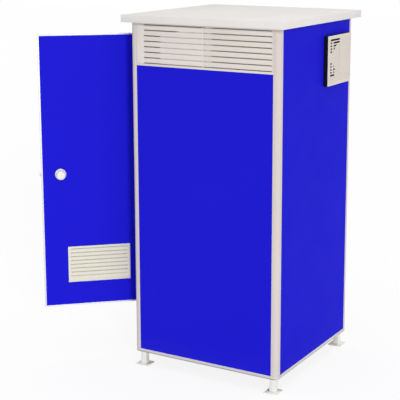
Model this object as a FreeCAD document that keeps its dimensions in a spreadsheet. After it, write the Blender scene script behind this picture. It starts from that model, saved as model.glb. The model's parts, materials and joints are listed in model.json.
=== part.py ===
import FreeCAD, Part
import Sketcher
import math
import os
import re

from FreeCAD import Placement, Rotation, Vector

# A portable toilet cabin: a square box of sandwich panels between four rounded corner posts, on four
# bolted feet. The origin is the middle of the ground under it. Facing it from the door, +X is to the
# right, +Y goes in from the door to the back wall and +Z is up. All sizes are in millimetres.

SIZES = {
    # Cabin
    "cabin_width": 1100,
    "cabin_depth": 1100,
    "wall_height": 2246,
    "post_width": 45,
    "post_wall": 3,
    "post_corner_radius": 30,
    "panel_thickness": 40,
    "panel_recess": 2,
    "base_rail_height": 23,
    # Feet
    "foot_plate_size": 96,
    "foot_plate_thickness": 6,
    "foot_inset": 48,
    "anchor_hole_radius": 5.5,
    "anchor_hole_offset": 34,
    "leg_size": 40,
    "leg_wall": 3,
    "leg_height": 96,
    # Roof
    "roof_overhang": 45,
    "roof_thickness": 48,
    "roof_sheet": 2,
    # Louvre band of the right wall
    "right_panel_height": 1964,
    "vent_rail_height": 14,
    "vent_top_rail_height": 11,
    "vent_slot": 4.5,
    "vent_blade_depth": 15,
    "vent_blade_count": 7,
    "vent_mullion_width": 9,
    # Front wall and doorway
    "jamb_face": 30,
    "jamb_edge": 274,
    "frame_depth": 52,
    "stop_lip": 12,
    "stop_gap": 0.5,
    "sill_height": 258.5,
    "sill_face": 28,
    "head_height": 2157,
    # Door
    "door_open_angle": 132.35,
    "door_side_gap": 3,
    "door_width": 775,
    "door_gap": 3,
    "door_thickness": 40,
    "door_edge_lip": 9.5,
    "door_edge_wall": 1.5,
    "hinge_offset": 7,
    "hinge_barrel_radius": 7,
    "hinge_barrel_length": 90,
    "hinge_pin_radius": 4,
    "hinge_running_gap": 0.05,
    "hinge_knuckle_gap": 0.4,
    "hinge_leaf_width": 28,
    "hinge_leaf_thickness": 2.5,
    "hinge_end_distance": 220,
    # Door vent
    "door_vent_width": 431,
    "door_vent_height": 254,
    "door_vent_place": 393,
    "door_vent_bottom": 170,
    "door_vent_side_border": 18,
    "door_vent_bottom_border": 44,
    "door_vent_depth": 6,
    "door_vent_slots": 8,
    "door_vent_pitch": 26.5,
    "door_vent_slot": 5,
    # Lock
    "lock_backset": 130,
    "lock_height": 939,
    "rose_radius": 38,
    "rose_thickness": 9,
    "knob_radius": 33,
    "knob_length": 34,
    "knob_bevel": 6,
    "knob_shoulder": 8.5,
    "knob_neck_radius": 14,
    "knob_neck_length": 20,
    "knob_socket": 17,
    "knob_gap": 0.5,
    "spindle_radius": 5,
    "latch_width": 10,
    "latch_height": 22,
    "latch_throw": 11,
    "latch_nose": 8,
    "latch_length": 60,
    "latch_gap": 0.3,
    "lock_case_length": 70,
    "lock_case_height": 60,
    "lock_case_thickness": 20,
    "strike_height": 70,
    "strike_thickness": 1.5,
    "strike_border": 8,
    "strike_gap": 1,
    "lock_case_gap": 0.5,
    "spindle_room_radius": 12,
    "spindle_gap": 0.05,
    "spindle_end_gap": 1,
    # Fan in the back wall
    "fan_place": 274.5,
    "fan_height": 1984,
    "fan_box_width": 368,
    "fan_box_height": 332,
    "fan_box_depth": 28,
    "fan_box_wall": 4,
    "fan_cover_thickness": 3,
    "fan_cover_border": 10,
    "fan_cover_pitch": 12,
    "fan_cover_slot": 5,
    "fan_duct_radius": 140,
    "fan_duct_wall": 4,
    "fan_duct_tail": 20,
    "fan_hole": 300,
    "fan_flange_width": 20,
    "fan_blade_gap": 6,
    "fan_blade_count": 6,
    "fan_blade_pitch": 32,
    "fan_blade_thickness": 3,
    "fan_blade_chord": 78,
    "fan_hub_radius": 36,
    "fan_hub_length": 34,
    "fan_shaft_radius": 4,
    "fan_running_gap": 0.05,
    "motor_radius": 42,
    "motor_length": 40,
    "motor_gap": 3,
    "motor_bearing": 15,
    "strut_width": 12,
    "strut_thickness": 5,
    # Floor and pan
    "floor_level": 250,
    "floor_thickness": 24,
    "bearer_size": 36,
    "wall_gap": 1,
    "pan_place": 40,
    "pan_width": 420,
    "pan_length": 540,
    "pan_rim": 14,
    "pan_bowl_width": 250,
    "pan_bowl_length": 400,
    "pan_bowl_depth": 150,
    "pan_wall": 14,
    "pan_corner": 60,
    "pan_clearance": 3,
    "pan_flush_depth": 60,
    "drain_radius": 55,
    "drain_wall": 4,
    "drain_end": 40,
    # Cistern
    "cistern_width": 380,
    "cistern_depth": 150,
    "cistern_height": 330,
    "cistern_level": 760,
    "cistern_wall": 6,
    "cistern_lid": 14,
    "supply_height": 247.5,
    "button_radius": 20,
    "button_rise": 6,
    "button_depth": 7,
    "button_gap": 0.4,
    "button_travel": 6,
    "flush_pipe_radius": 22,
    "flush_pipe_wall": 3,
    "flush_valve_radius": 30,
    "flush_valve_height": 80,
    "overflow_radius": 15,
    "float_valve_radius": 12,
    "float_place": 120,
    "float_width": 60,
    "float_height": 70,
    "supply_pipe_radius": 10,
    "supply_pipe_wall": 2,
    "supply_stub": 25,
    "supply_thread_radius": 10.5,
    "pipe_hole_gap": 1,
    "service_plate_reach": 80,
    "service_plate_gap": 0.5,
    # Paper holder
    "holder_place": 60,
    "holder_level": 650,
    "roll_radius": 55,
    "roll_width": 100,
    "roll_core_radius": 21,
    "holder_arm": 6,
    "holder_plate": 130,
    "holder_plate_height": 60,
    "holder_rod_radius": 8,
    "holder_gap": 0.3,
    # Light and switch
    "lamp_radius": 110,
    "lamp_base": 12,
    "lamp_height": 45,
    "switch_size": 86,
    "switch_plate_thickness": 9,
    "switch_level": 1000,
    "switch_place": 60,
    "rocker_width": 24,
    "rocker_height": 40,
    "rocker_thickness": 8,
    "rocker_gap": 1,
    "rocker_rise": 3,
    "rocker_proud": 1,
    "rocker_axle_radius": 2,
    "rocker_axle_reach": 3,
    "rocker_running_gap": 0.05,
}

doc = FreeCAD.newDocument("ToiletCabin")
sheet = doc.addObject("Spreadsheet::Sheet", "Sizes")
for row, (name, number) in enumerate(SIZES.items(), start=1):
    sheet.set("A%d" % row, name)
    sheet.set("B%d" % row, str(number))
    sheet.setAlias("B%d" % row, name)
doc.recompute()

SUBPARTS = {}

# Places that many pieces share, as expressions of the sizes
RIGHT = "(cabin_width / 2)"
BACK = "(cabin_depth / 2)"
INNER_X = f"({RIGHT} - post_width)"
INNER_Y = f"({BACK} - post_width)"
BASE_BOTTOM = "(foot_plate_thickness + leg_height)"
WALL_BOTTOM = f"({BASE_BOTTOM} + base_rail_height)"
WALL_TOP = f"({WALL_BOTTOM} + wall_height)"
ROOF_TOP = f"({WALL_TOP} + roof_thickness)"
PANEL_OUT_X = f"({RIGHT} - panel_recess)"
PANEL_OUT_Y = f"({BACK} - panel_recess)"
PANEL_IN_X = f"({PANEL_OUT_X} - panel_thickness)"
PANEL_IN_Y = f"({PANEL_OUT_Y} - panel_thickness)"
VENT_RAIL = f"({WALL_BOTTOM} + right_panel_height)"
VENT_BOTTOM = f"({VENT_RAIL} + vent_rail_height)"
VENT_TOP = f"({WALL_TOP} - vent_top_rail_height)"
SILL_TOP = f"({WALL_BOTTOM} + sill_height)"
HEAD_BOTTOM = f"({WALL_BOTTOM} + head_height)"
FLOOR_TOP = f"({WALL_BOTTOM} + floor_level)"
FLOOR_BOTTOM = f"({FLOOR_TOP} - floor_thickness)"
DOOR_BOTTOM = f"({SILL_TOP} + door_gap)"
DOOR_TOP = f"({HEAD_BOTTOM} - door_gap)"
FAN_X = "(0 - fan_place)"
FAN_Z = f"({WALL_BOTTOM} + fan_height)"
LOCK_X = "(door_width - lock_backset)"
LOCK_Y = "(0 - hinge_offset - door_thickness / 2)"
LATCH_Y = f"(door_thickness / 2 - {BACK})"
LATCH_Z = f"({DOOR_BOTTOM} + lock_height)"
LATCH_SIDE = f"(0 - {INNER_X})"
LATCH_WINDOW = (
    (f"{LATCH_Y} - latch_width / 2 - strike_gap", f"{LATCH_Y} + latch_width / 2 + strike_gap"),
    (f"{LATCH_Z} - latch_height / 2 - strike_gap", f"{LATCH_Z} + latch_height / 2 + strike_gap"),
)
CISTERN_BOTTOM = f"({FLOOR_TOP} + cistern_level)"
CISTERN_Y = f"({PANEL_IN_Y} - cistern_depth / 2)"
FLUSH_Y = CISTERN_Y
SUPPLY_Z = f"({CISTERN_BOTTOM} + supply_height)"
SWITCH_X = "(jamb_edge + jamb_face + switch_place + switch_size / 2)"
SWITCH_Z = f"({FLOOR_TOP} + switch_level)"


def linked(text):
    """The expression with the name of each size pointing at its cell."""
    return re.sub(r"[a-z_]+", lambda word: "Sizes." + word[0] if word[0] in SIZES else word[0], text)


def value(text):
    """The number that an expression of the sizes gives now."""
    return float(eval_holder.evalExpression(linked(text)))


eval_holder = doc.addObject("App::FeaturePython", "Reader")


def place(item, x="0", y="0", z="0"):
    for axis, text in zip("xyz", (x, y, z)):
        item.setExpression("Placement.Base." + axis, linked(text))


def block(name, x, y, z):
    """A box between a lowest and a highest place on each axis."""
    item = doc.addObject("Part::Box", name)
    for side, (low, high) in zip(("Length", "Width", "Height"), (x, y, z)):
        item.setExpression(side, linked(f"({high}) - ({low})"))
    place(item, x[0], y[0], z[0])
    return item


TURNS = {
    "x": Rotation(Vector(0, 1, 0), 90),
    "y": Rotation(Vector(1, 0, 0), -90),
    "z": Rotation(),
}


def rod(name, axis, radius, span, at):
    """A cylinder along an axis between two places, at a point given by its other two coordinates."""
    low, high = span
    item = doc.addObject("Part::Cylinder", name)
    item.Placement = Placement(Vector(), TURNS[axis])
    item.setExpression("Radius", linked(radius))
    item.setExpression("Height", linked(f"({high}) - ({low})"))
    base = list(at)
    base.insert("xyz".index(axis), low)
    place(item, *base)
    return item


def joined(name, *pieces):
    item = doc.addObject("Part::MultiFuse", name)
    item.Shapes = list(pieces)
    item.Refine = True
    return item


def group(name, *pieces):
    """Separate solids that share one node."""
    item = doc.addObject("Part::Compound", name)
    item.Links = list(pieces)
    return item


def cut(name, solid, *tools):
    item = doc.addObject("Part::Cut", name)
    item.Base = solid
    item.Tool = tools[0] if len(tools) == 1 else group(name + "_tools", *tools)
    return item


def keep(label, item):
    """Names a finished sub-part of the cabin."""
    item.Label = label
    SUBPARTS[label] = item
    return item


def hang(label, item):
    """Names a sub-part of the door, modelled from the hinge's axis: X along the leaf, Y outwards."""
    carrier = item
    if item.TypeId != "PartDesign::Body":
        carrier = group(label + "_hung", item)
    carrier.Placement = Placement(Vector(), Rotation(Vector(0, 0, 1), 45))
    carrier.setExpression("Placement.Rotation.Angle", linked("180 + door_open_angle"))
    place(carrier, "jamb_edge", f"0 - {BACK} - hinge_offset")
    return keep(label, carrier)


def body_plane(body, role):
    for feature in body.Origin.OriginFeatures:
        if feature.Role == role:
            return feature
    raise ValueError("no origin plane " + role)


def new_sketch(body, name, role="XY_Plane"):
    sketch = body.newObject("Sketcher::SketchObject", name)
    sketch.AttachmentSupport = [(body_plane(body, role), "")]
    sketch.MapMode = "FlatFace"
    return sketch


def pin_point(sketch, line, end, x, y):
    """Ties the end of a line, or a circle's middle, to a place from the sketch's origin."""
    for kind, text in (("DistanceX", x), ("DistanceY", y)):
        number = sketch.addConstraint(Sketcher.Constraint(kind, -1, 1, line, end, value(text)))
        sketch.setExpression("Constraints[%d]" % number, linked(text))


def outline(sketch, corners):
    """A closed outline of straight lines through corners, each tied to its place."""
    points = [Vector(value(x), value(y), 0) for x, y in corners]
    first = sketch.GeometryCount
    count = len(points)
    for index in range(count):
        sketch.addGeometry(Part.LineSegment(points[index], points[(index + 1) % count]), False)
    for index in range(count):
        following = first + (index + 1) % count
        sketch.addConstraint(Sketcher.Constraint("Coincident", first + index, 2, following, 1))
        pin_point(sketch, first + index, 1, *corners[index])


def circle(sketch, x, y, radius):
    shape = Part.Circle(Vector(value(x), value(y), 0), Vector(0, 0, 1), value(radius))
    number = sketch.addGeometry(shape, False)
    pin_point(sketch, number, 3, x, y)
    rule = sketch.addConstraint(Sketcher.Constraint("Radius", number, value(radius)))
    sketch.setExpression("Constraints[%d]" % rule, linked(radius))


def rounded_square(sketch, low, high, radius):
    """A square whose far corner is rounded, as the corner of the cabin is."""
    near, far, arc = value(low), value(high), value(radius)
    turn = far - arc
    first = sketch.GeometryCount
    corners = [(near, near), (far, near), (far, turn), (turn, far), (near, far)]
    for start, end in ((0, 1), (1, 2), (3, 4), (4, 0)):
        sketch.addGeometry(Part.LineSegment(Vector(*corners[start], 0), Vector(*corners[end], 0)), False)
    round_edge = Part.Circle(Vector(turn, turn, 0), Vector(0, 0, 1), arc)
    sketch.addGeometry(Part.ArcOfCircle(round_edge, 0, math.pi / 2), False)
    bottom, side, top, back, bend = range(first, first + 5)
    for one, other in (((bottom, 2), (side, 1)), ((top, 2), (back, 1)), ((back, 2), (bottom, 1))):
        sketch.addConstraint(Sketcher.Constraint("Coincident", *one, *other))
    sketch.addConstraint(Sketcher.Constraint("Tangent", side, 2, bend, 1))
    sketch.addConstraint(Sketcher.Constraint("Tangent", bend, 2, top, 1))
    for kind, line in (("Vertical", side), ("Horizontal", top), ("Vertical", back)):
        sketch.addConstraint(Sketcher.Constraint(kind, line))
    pin_point(sketch, bottom, 1, low, low)
    pin_point(sketch, bottom, 2, high, low)
    number = sketch.addConstraint(Sketcher.Constraint("DistanceY", -1, 1, top, 1, far))
    sketch.setExpression("Constraints[%d]" % number, linked(high))
    number = sketch.addConstraint(Sketcher.Constraint("Radius", bend, arc))
    sketch.setExpression("Constraints[%d]" % number, linked(radius))


def pad(body, sketch, length, backwards=False):
    feature = body.newObject("PartDesign::Pad", sketch.Name + "_pad")
    feature.Profile = sketch
    feature.setExpression("Length", linked(length))
    feature.Reversed = backwards
    sketch.Visibility = False
    return feature


def new_body(name):
    return doc.addObject("PartDesign::Body", name)


CORNERS = (("back_right", 1, 1), ("back_left", -1, 1), ("front_left", -1, -1), ("front_right", 1, -1))


def across(side, low, high):
    """The span between two distances from the middle, on the plus or the minus side."""
    return (low, high) if side > 0 else (f"0 - ({high})", f"0 - ({low})")


def widened(span, by):
    return (f"{span[0]} - ({by})", f"{span[1]} + ({by})")


def narrowed(span, by):
    return (f"{span[0]} + ({by})", f"{span[1]} - ({by})")


def square_corners(low, high):
    return [(low, low), (high, low), (high, high), (low, high)]


def rounded_block(name, x, y, z, radius):
    """A box with its upright edges rounded."""
    base = block(name + "_box", x, y, z)
    doc.recompute()
    arc = value(radius)
    upright = [number for number, edge in enumerate(base.Shape.Edges, start=1)
               if abs(edge.tangentAt(edge.FirstParameter).z) > 0.99]
    item = doc.addObject("Part::Fillet", name)
    item.Base = base
    item.Edges = [(number, arc, arc) for number in upright]
    return item


def corner_posts():
    """Four square tubes with a rounded outer corner, each turned to its own corner of the cabin."""
    corners = (
        ("back_right", 0, INNER_X, INNER_Y),
        ("back_left", 90, f"0 - {INNER_X}", INNER_Y),
        ("front_left", 180, f"0 - {INNER_X}", f"0 - {INNER_Y}"),
        ("front_right", 270, INNER_X, f"0 - {INNER_Y}"),
    )
    for corner, turn, x, y in corners:
        label = "post_" + corner
        post = new_body(label)
        sketch = new_sketch(post, label + "_section")
        rounded_square(sketch, "0", "post_width", "post_corner_radius")
        rounded_square(sketch, "post_wall", "post_width - post_wall", "post_corner_radius - post_wall")
        pad(post, sketch, "wall_height")
        post.Placement = Placement(Vector(), Rotation(Vector(0, 0, 1), turn))
        place(post, x, y, WALL_BOTTOM)
        if corner == "front_left":
            window = block("latch_window", (f"{LATCH_SIDE} - post_wall - 1", f"{LATCH_SIDE} + 1"),
                           *LATCH_WINDOW)
            post = cut(label + "_with_window", post, window)
        keep(label, post)


def feet():
    """A square leg welded to a plate with two anchor holes on its diagonal."""
    for corner, side_x, side_y in CORNERS:
        label = "foot_" + corner
        foot = new_body(label)
        plate = new_sketch(foot, label + "_plate")
        half = "foot_plate_size / 2"
        outline(plate, square_corners(f"0 - {half}", half))
        circle(plate, "anchor_hole_offset", "anchor_hole_offset", "anchor_hole_radius")
        circle(plate, "0 - anchor_hole_offset", "0 - anchor_hole_offset", "anchor_hole_radius")
        pad(foot, plate, "foot_plate_thickness")
        leg = new_sketch(foot, label + "_leg")
        outline(leg, square_corners("0 - leg_size / 2", "leg_size / 2"))
        outline(leg, square_corners("leg_wall - leg_size / 2", "leg_size / 2 - leg_wall"))
        pad(foot, leg, BASE_BOTTOM)
        foot.Placement = Placement(Vector(), Rotation(Vector(0, 0, 1), 0 if side_x * side_y > 0 else 90))
        place(foot, f"{side_x} * ({RIGHT} - foot_inset)", f"{side_y} * ({BACK} - foot_inset)")
        keep(label, foot)


def base_frame():
    """A welded ring of flat rails under the posts and the panels, its corners rounded as the posts are."""
    blank = rounded_block("base_frame_blank", (f"0 - {RIGHT}", RIGHT), (f"0 - {BACK}", BACK),
                          (BASE_BOTTOM, WALL_BOTTOM), "post_corner_radius")
    room = block("base_frame_room", (f"0 - {INNER_X}", INNER_X), (f"0 - {INNER_Y}", INNER_Y),
                 (f"{BASE_BOTTOM} - 1", f"{WALL_BOTTOM} + 1"))
    keep("base_frame", cut("base_frame", blank, room))


def walls():
    """The sandwich panels between the posts."""
    between_y = (f"0 - {INNER_Y}", INNER_Y)
    between_x = (f"0 - {INNER_X}", INNER_X)
    full_height = (WALL_BOTTOM, WALL_TOP)
    keep("wall_panel_right", block("wall_panel_right", (PANEL_IN_X, PANEL_OUT_X), between_y,
                                   (WALL_BOTTOM, VENT_RAIL)))
    thick = across(-1, PANEL_IN_X, PANEL_OUT_X)
    low_z = f"({SUPPLY_Z} - service_plate_reach)"
    high_z = f"({SUPPLY_Z} + service_plate_reach)"
    low_y = f"({CISTERN_Y} - service_plate_reach)"
    left = block("wall_board_blank", thick, between_y, full_height)
    window = block("service_window", widened(thick, "1"), (low_y, f"{INNER_Y} + 1"), (low_z, high_z))
    plate = block("service_plate_blank", thick, (f"{low_y} + service_plate_gap", INNER_Y),
                  (low_z, f"{high_z} - service_plate_gap"))
    supply = rod("supply_hole", "x", "supply_pipe_radius + pipe_hole_gap", widened(thick, "1"),
                 (CISTERN_Y, SUPPLY_Z))
    boards = (cut("wall_board_left", left, window), cut("service_plate", plate, supply))
    keep("wall_panel_left", group("wall_panel_left", *boards))
    back = new_body("wall_panel_back")
    face = new_sketch(back, "wall_panel_back_face", "XZ_Plane")
    outline(face, [(f"0 - {INNER_X}", WALL_BOTTOM), (INNER_X, WALL_BOTTOM),
                   (INNER_X, WALL_TOP), (f"0 - {INNER_X}", WALL_TOP)])
    low_x, high_x = f"{FAN_X} - fan_hole / 2", f"{FAN_X} + fan_hole / 2"
    low_z, high_z = f"{FAN_Z} - fan_hole / 2", f"{FAN_Z} + fan_hole / 2"
    outline(face, [(low_x, low_z), (high_x, low_z), (high_x, high_z), (low_x, high_z)])
    pad(back, face, "panel_thickness", backwards=True)
    place(back, y=PANEL_IN_Y)
    keep("wall_panel_back", back)
    front = across(-1, PANEL_IN_Y, PANEL_OUT_Y)
    keep("front_side_panel", block("front_side_panel", ("jamb_edge + jamb_face", INNER_X), front,
                                   full_height))
    keep("front_lower_panel", block("front_lower_panel", (f"0 - {INNER_X}", "jamb_edge"), front,
                                    (WALL_BOTTOM, f"{SILL_TOP} - sill_face")))


def door_frame():
    """The hinge jamb, and a sill and a head with a lip behind the door that stops it."""
    keep("door_jamb", block("door_jamb", ("jamb_edge", "jamb_edge + jamb_face"),
                            (f"0 - {BACK}", f"frame_depth - {BACK}"), (WALL_BOTTOM, WALL_TOP)))
    outer = f"0 - {BACK}"
    inner = f"frame_depth - {BACK}"
    stop = f"door_thickness + stop_gap - {BACK}"
    sections = {
        "door_sill": [(outer, f"{SILL_TOP} - sill_face"), (inner, f"{SILL_TOP} - sill_face"),
                      (inner, f"{SILL_TOP} + stop_lip"), (stop, f"{SILL_TOP} + stop_lip"),
                      (stop, SILL_TOP), (outer, SILL_TOP)],
        "door_head": [(outer, HEAD_BOTTOM), (stop, HEAD_BOTTOM), (stop, f"{HEAD_BOTTOM} - stop_lip"),
                      (inner, f"{HEAD_BOTTOM} - stop_lip"), (inner, WALL_TOP), (outer, WALL_TOP)],
    }
    for label, corners in sections.items():
        bar = new_body(label)
        section = new_sketch(bar, label + "_section", "YZ_Plane")
        outline(section, corners)
        pad(bar, section, f"jamb_edge + {INNER_X}")
        place(bar, x=f"0 - {INNER_X}")
        keep(label, bar)
    latch_y = (f"{LATCH_Y} - latch_width / 2", f"{LATCH_Y} + latch_width / 2")
    plate = block("strike_blank", (LATCH_SIDE, f"{LATCH_SIDE} + strike_thickness"),
                  widened(latch_y, "strike_border"),
                  (f"{LATCH_Z} - strike_height / 2", f"{LATCH_Z} + strike_height / 2"))
    window = block("strike_window", (f"{LATCH_SIDE} - 1", f"{LATCH_SIDE} + strike_thickness + 1"),
                   *LATCH_WINDOW)
    keep("strike_plate", cut("strike_plate", plate, window))


def louvre_band():
    """A pressed louvre over the right panel: level blades in two runs, on a bar between them."""
    front = f"{PANEL_OUT_X} - vent_blade_depth"
    rails = {"vent_rail": (VENT_RAIL, VENT_BOTTOM), "vent_top_rail": (VENT_TOP, WALL_TOP)}
    for label, span_z in rails.items():
        keep(label, block(label, (PANEL_IN_X, RIGHT), (f"0 - {INNER_Y}", INNER_Y), span_z))
    bar = block("vent_bar", (front, PANEL_OUT_X), ("0 - vent_mullion_width / 2", "vent_mullion_width / 2"),
                (VENT_BOTTOM, VENT_TOP))
    count = round(value("vent_blade_count"))
    pitch = f"(({VENT_TOP} - {VENT_BOTTOM} - vent_slot) / vent_blade_count)"
    blades = []
    for index in range(count):
        low = f"{VENT_BOTTOM} + vent_slot + {index} * {pitch}"
        for side in (-1, 1):
            blades.append(block(f"vent_blade_{index}_{side + 1}", (front, PANEL_OUT_X),
                                across(side, "vent_mullion_width / 2", INNER_Y),
                                (low, f"{low} + {pitch} - vent_slot")))
    keep("vent_blades", joined("vent_blades", bar, *blades))


def roof():
    """A folded sheet over a core that is also the ceiling."""
    wide_x = f"({RIGHT} + roof_overhang)"
    wide_y = f"({BACK} + roof_overhang)"
    inside = (narrowed((f"0 - {wide_x}", wide_x), "roof_sheet"),
              narrowed((f"0 - {wide_y}", wide_y), "roof_sheet"),
              (WALL_TOP, f"{ROOF_TOP} - roof_sheet"))
    blank = block("roof_blank", (f"0 - {wide_x}", wide_x), (f"0 - {wide_y}", wide_y), (WALL_TOP, ROOF_TOP))
    keep("roof_sheet", cut("roof_sheet", blank, block("roof_room", *inside)))
    keep("roof_core", block("roof_core", *inside))


def door():
    """The leaf, its edge strips, its vent and its half of the hinges, modelled from the hinge's axis."""
    outer = "(0 - hinge_offset)"
    inner = f"({outer} - door_thickness)"
    side = "door_side_gap"
    low, high = DOOR_BOTTOM, DOOR_TOP
    core_span = ((f"{side} + door_edge_wall", "door_width - door_edge_wall"),
                 (f"{inner} + door_edge_wall", f"{outer} - door_edge_wall"),
                 (f"{low} + door_edge_wall", f"{high} - door_edge_wall"))
    vent_x = ("door_vent_place - door_vent_width / 2", "door_vent_place + door_vent_width / 2")
    vent_z = (f"{low} + door_vent_bottom", f"{low} + door_vent_bottom + door_vent_height")
    slot_x = narrowed(vent_x, "door_vent_side_border")
    opening = block("vent_opening", slot_x, (f"{inner} - 1", f"{outer} + 1"),
                    (f"{vent_z[0]} + door_vent_bottom_border", f"{vent_z[1]} - door_vent_side_border / 2"))
    case_x = ("door_width - door_edge_wall - lock_case_length", "door_width - door_edge_wall")
    case_y = (f"{LOCK_Y} - lock_case_thickness / 2", f"{LOCK_Y} + lock_case_thickness / 2")
    case_z = (f"{LATCH_Z} - lock_case_height / 2", f"{LATCH_Z} + lock_case_height / 2")
    case_room = block("lock_case_room", (f"{case_x[0]} - lock_case_gap", case_x[1]),
                      widened(case_y, "lock_case_gap"), widened(case_z, "lock_case_gap"))
    spindle_room = rod("spindle_room", "y", "spindle_room_radius", (f"{inner} - 1", f"{outer} + 1"),
                       (LOCK_X, LATCH_Z))
    core = block("door_core_blank", *core_span)
    hang("door_leaf", cut("door_leaf_cut", core, opening, case_room, spindle_room))

    lip = "door_edge_lip"
    across_leaf = (inner, outer)
    latch_room = (widened((f"{LOCK_Y} - latch_width / 2", f"{LOCK_Y} + latch_width / 2"), "latch_gap"),
                  widened((f"{LATCH_Z} - latch_height / 2", f"{LATCH_Z} + latch_height / 2"), "latch_gap"))
    strips = (
        ("door_edge_bottom", (side, "door_width"), (low, f"{low} + {lip}")),
        ("door_edge_top", (side, "door_width"), (f"{high} - {lip}", high)),
        ("door_edge_hinge", (side, f"{side} + {lip}"), (f"{low} + {lip}", f"{high} - {lip}")),
        ("door_edge_lock", (f"door_width - {lip}", "door_width"), (f"{low} + {lip}", f"{high} - {lip}")),
    )
    for label, span_x, span_z in strips:
        strip = block(label + "_bar", span_x, across_leaf, span_z)
        tools = [block(label + "_core", *core_span)]
        if label == "door_edge_lock":
            tools.append(block("latch_exit", ("door_width - 2 * door_edge_wall", "door_width + 1"),
                               *latch_room))
        hang(label, cut(label + "_cut", strip, *tools))

    outer_seat, inner_seat = f"{outer} - door_edge_wall", f"{inner} + door_edge_wall"
    vents = {"door_vent_outer": (outer_seat, f"{outer_seat} + door_vent_depth"),
             "door_vent_inner": (f"{inner_seat} - door_vent_depth", inner_seat)}
    for label, span in vents.items():
        plate = block(label + "_plate", vent_x, span, vent_z)
        slots = []
        for index in range(round(value("door_vent_slots"))):
            top = f"{vent_z[1]} - door_vent_side_border / 2 - {index} * door_vent_pitch"
            slots.append(block(f"{label}_slot_{index}", slot_x, widened(span, "1"),
                               (f"{top} - door_vent_slot", top)))
        hang(label, cut(label + "_cut", plate, *slots))

    case = block("lock_case_blank", case_x, case_y, case_z)
    bolt_room = block("bolt_room", ("door_width - latch_length - latch_gap", "door_width"), *latch_room)
    hang("lock_case", cut("lock_case_cut", case, bolt_room))
    bolt = new_body("latch_bolt")
    shape = new_sketch(bolt, "latch_bolt_plan")
    tip = "door_width + latch_throw"
    near, far = f"{LOCK_Y} - latch_width / 2", f"{LOCK_Y} + latch_width / 2"
    outline(shape, [(f"{tip} - latch_length", near), (tip, near), (f"{tip} - latch_nose", far),
                    (f"{tip} - latch_length", far)])
    pad(bolt, shape, "latch_height")
    hang("latch_bolt", bolt)
    bolt.setExpression("Placement.Base.z", linked(f"{LATCH_Z} - latch_height / 2"))


def lock():
    """A round rose and knob on each face of the door. The outer knob's spindle turns the inner knob."""
    outer = "(0 - hinge_offset - door_edge_wall)"
    inner = "(0 - hinge_offset - door_thickness + door_edge_wall)"
    roses = []
    for name, span in (("outer_rose", (outer, f"{outer} + rose_thickness")),
                       ("inner_rose", (f"{inner} - rose_thickness", inner))):
        disc = rod(name + "_disc", "y", "rose_radius", span, (LOCK_X, LATCH_Z))
        bore = rod(name + "_bore", "y", "knob_neck_radius + knob_gap", (f"{span[0]} - 1", f"{span[1]} + 1"),
                   (LOCK_X, LATCH_Z))
        roses.append(cut(name, disc, bore))
    hang("lock_roses", group("lock_roses_pair", *roses))
    for label, start, way in (("outer_knob", outer, 1), ("inner_knob", inner, -1)):
        knob = new_body(label)
        half = new_sketch(knob, label + "_half", "XY_Plane")
        neck_end = "knob_neck_length"
        full = "(knob_neck_length + knob_length)"
        bore = "spindle_radius" if way > 0 else "spindle_radius + spindle_gap"
        corners = [("knob_neck_radius", "knob_gap"), ("knob_neck_radius", neck_end),
                   ("knob_radius - knob_bevel", neck_end), ("knob_radius", f"{neck_end} + knob_shoulder"),
                   ("knob_radius", f"{full} - knob_shoulder"), ("knob_radius - knob_bevel", full),
                   ("0", full)]
        if way > 0:
            corners += [("0", f"{inner} - {outer} - knob_socket"), (bore, f"{inner} - {outer} - knob_socket"),
                        (bore, "knob_gap")]
        else:
            corners += [("0", "knob_socket + spindle_end_gap"), (bore, "knob_socket + spindle_end_gap"),
                        (bore, "knob_gap")]
        outline(half, corners)
        turned = knob.newObject("PartDesign::Revolution", label + "_turned")
        turned.Profile = half
        turned.ReferenceAxis = (half, ["V_Axis"])
        turned.Angle = 360
        carrier = group(label + "_carrier", knob)
        knob.Placement = Placement(Vector(), Rotation(Vector(0, 0, 1), 0 if way > 0 else 180))
        place(knob, LOCK_X, start, LATCH_Z)
        hang(label, carrier)


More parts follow.
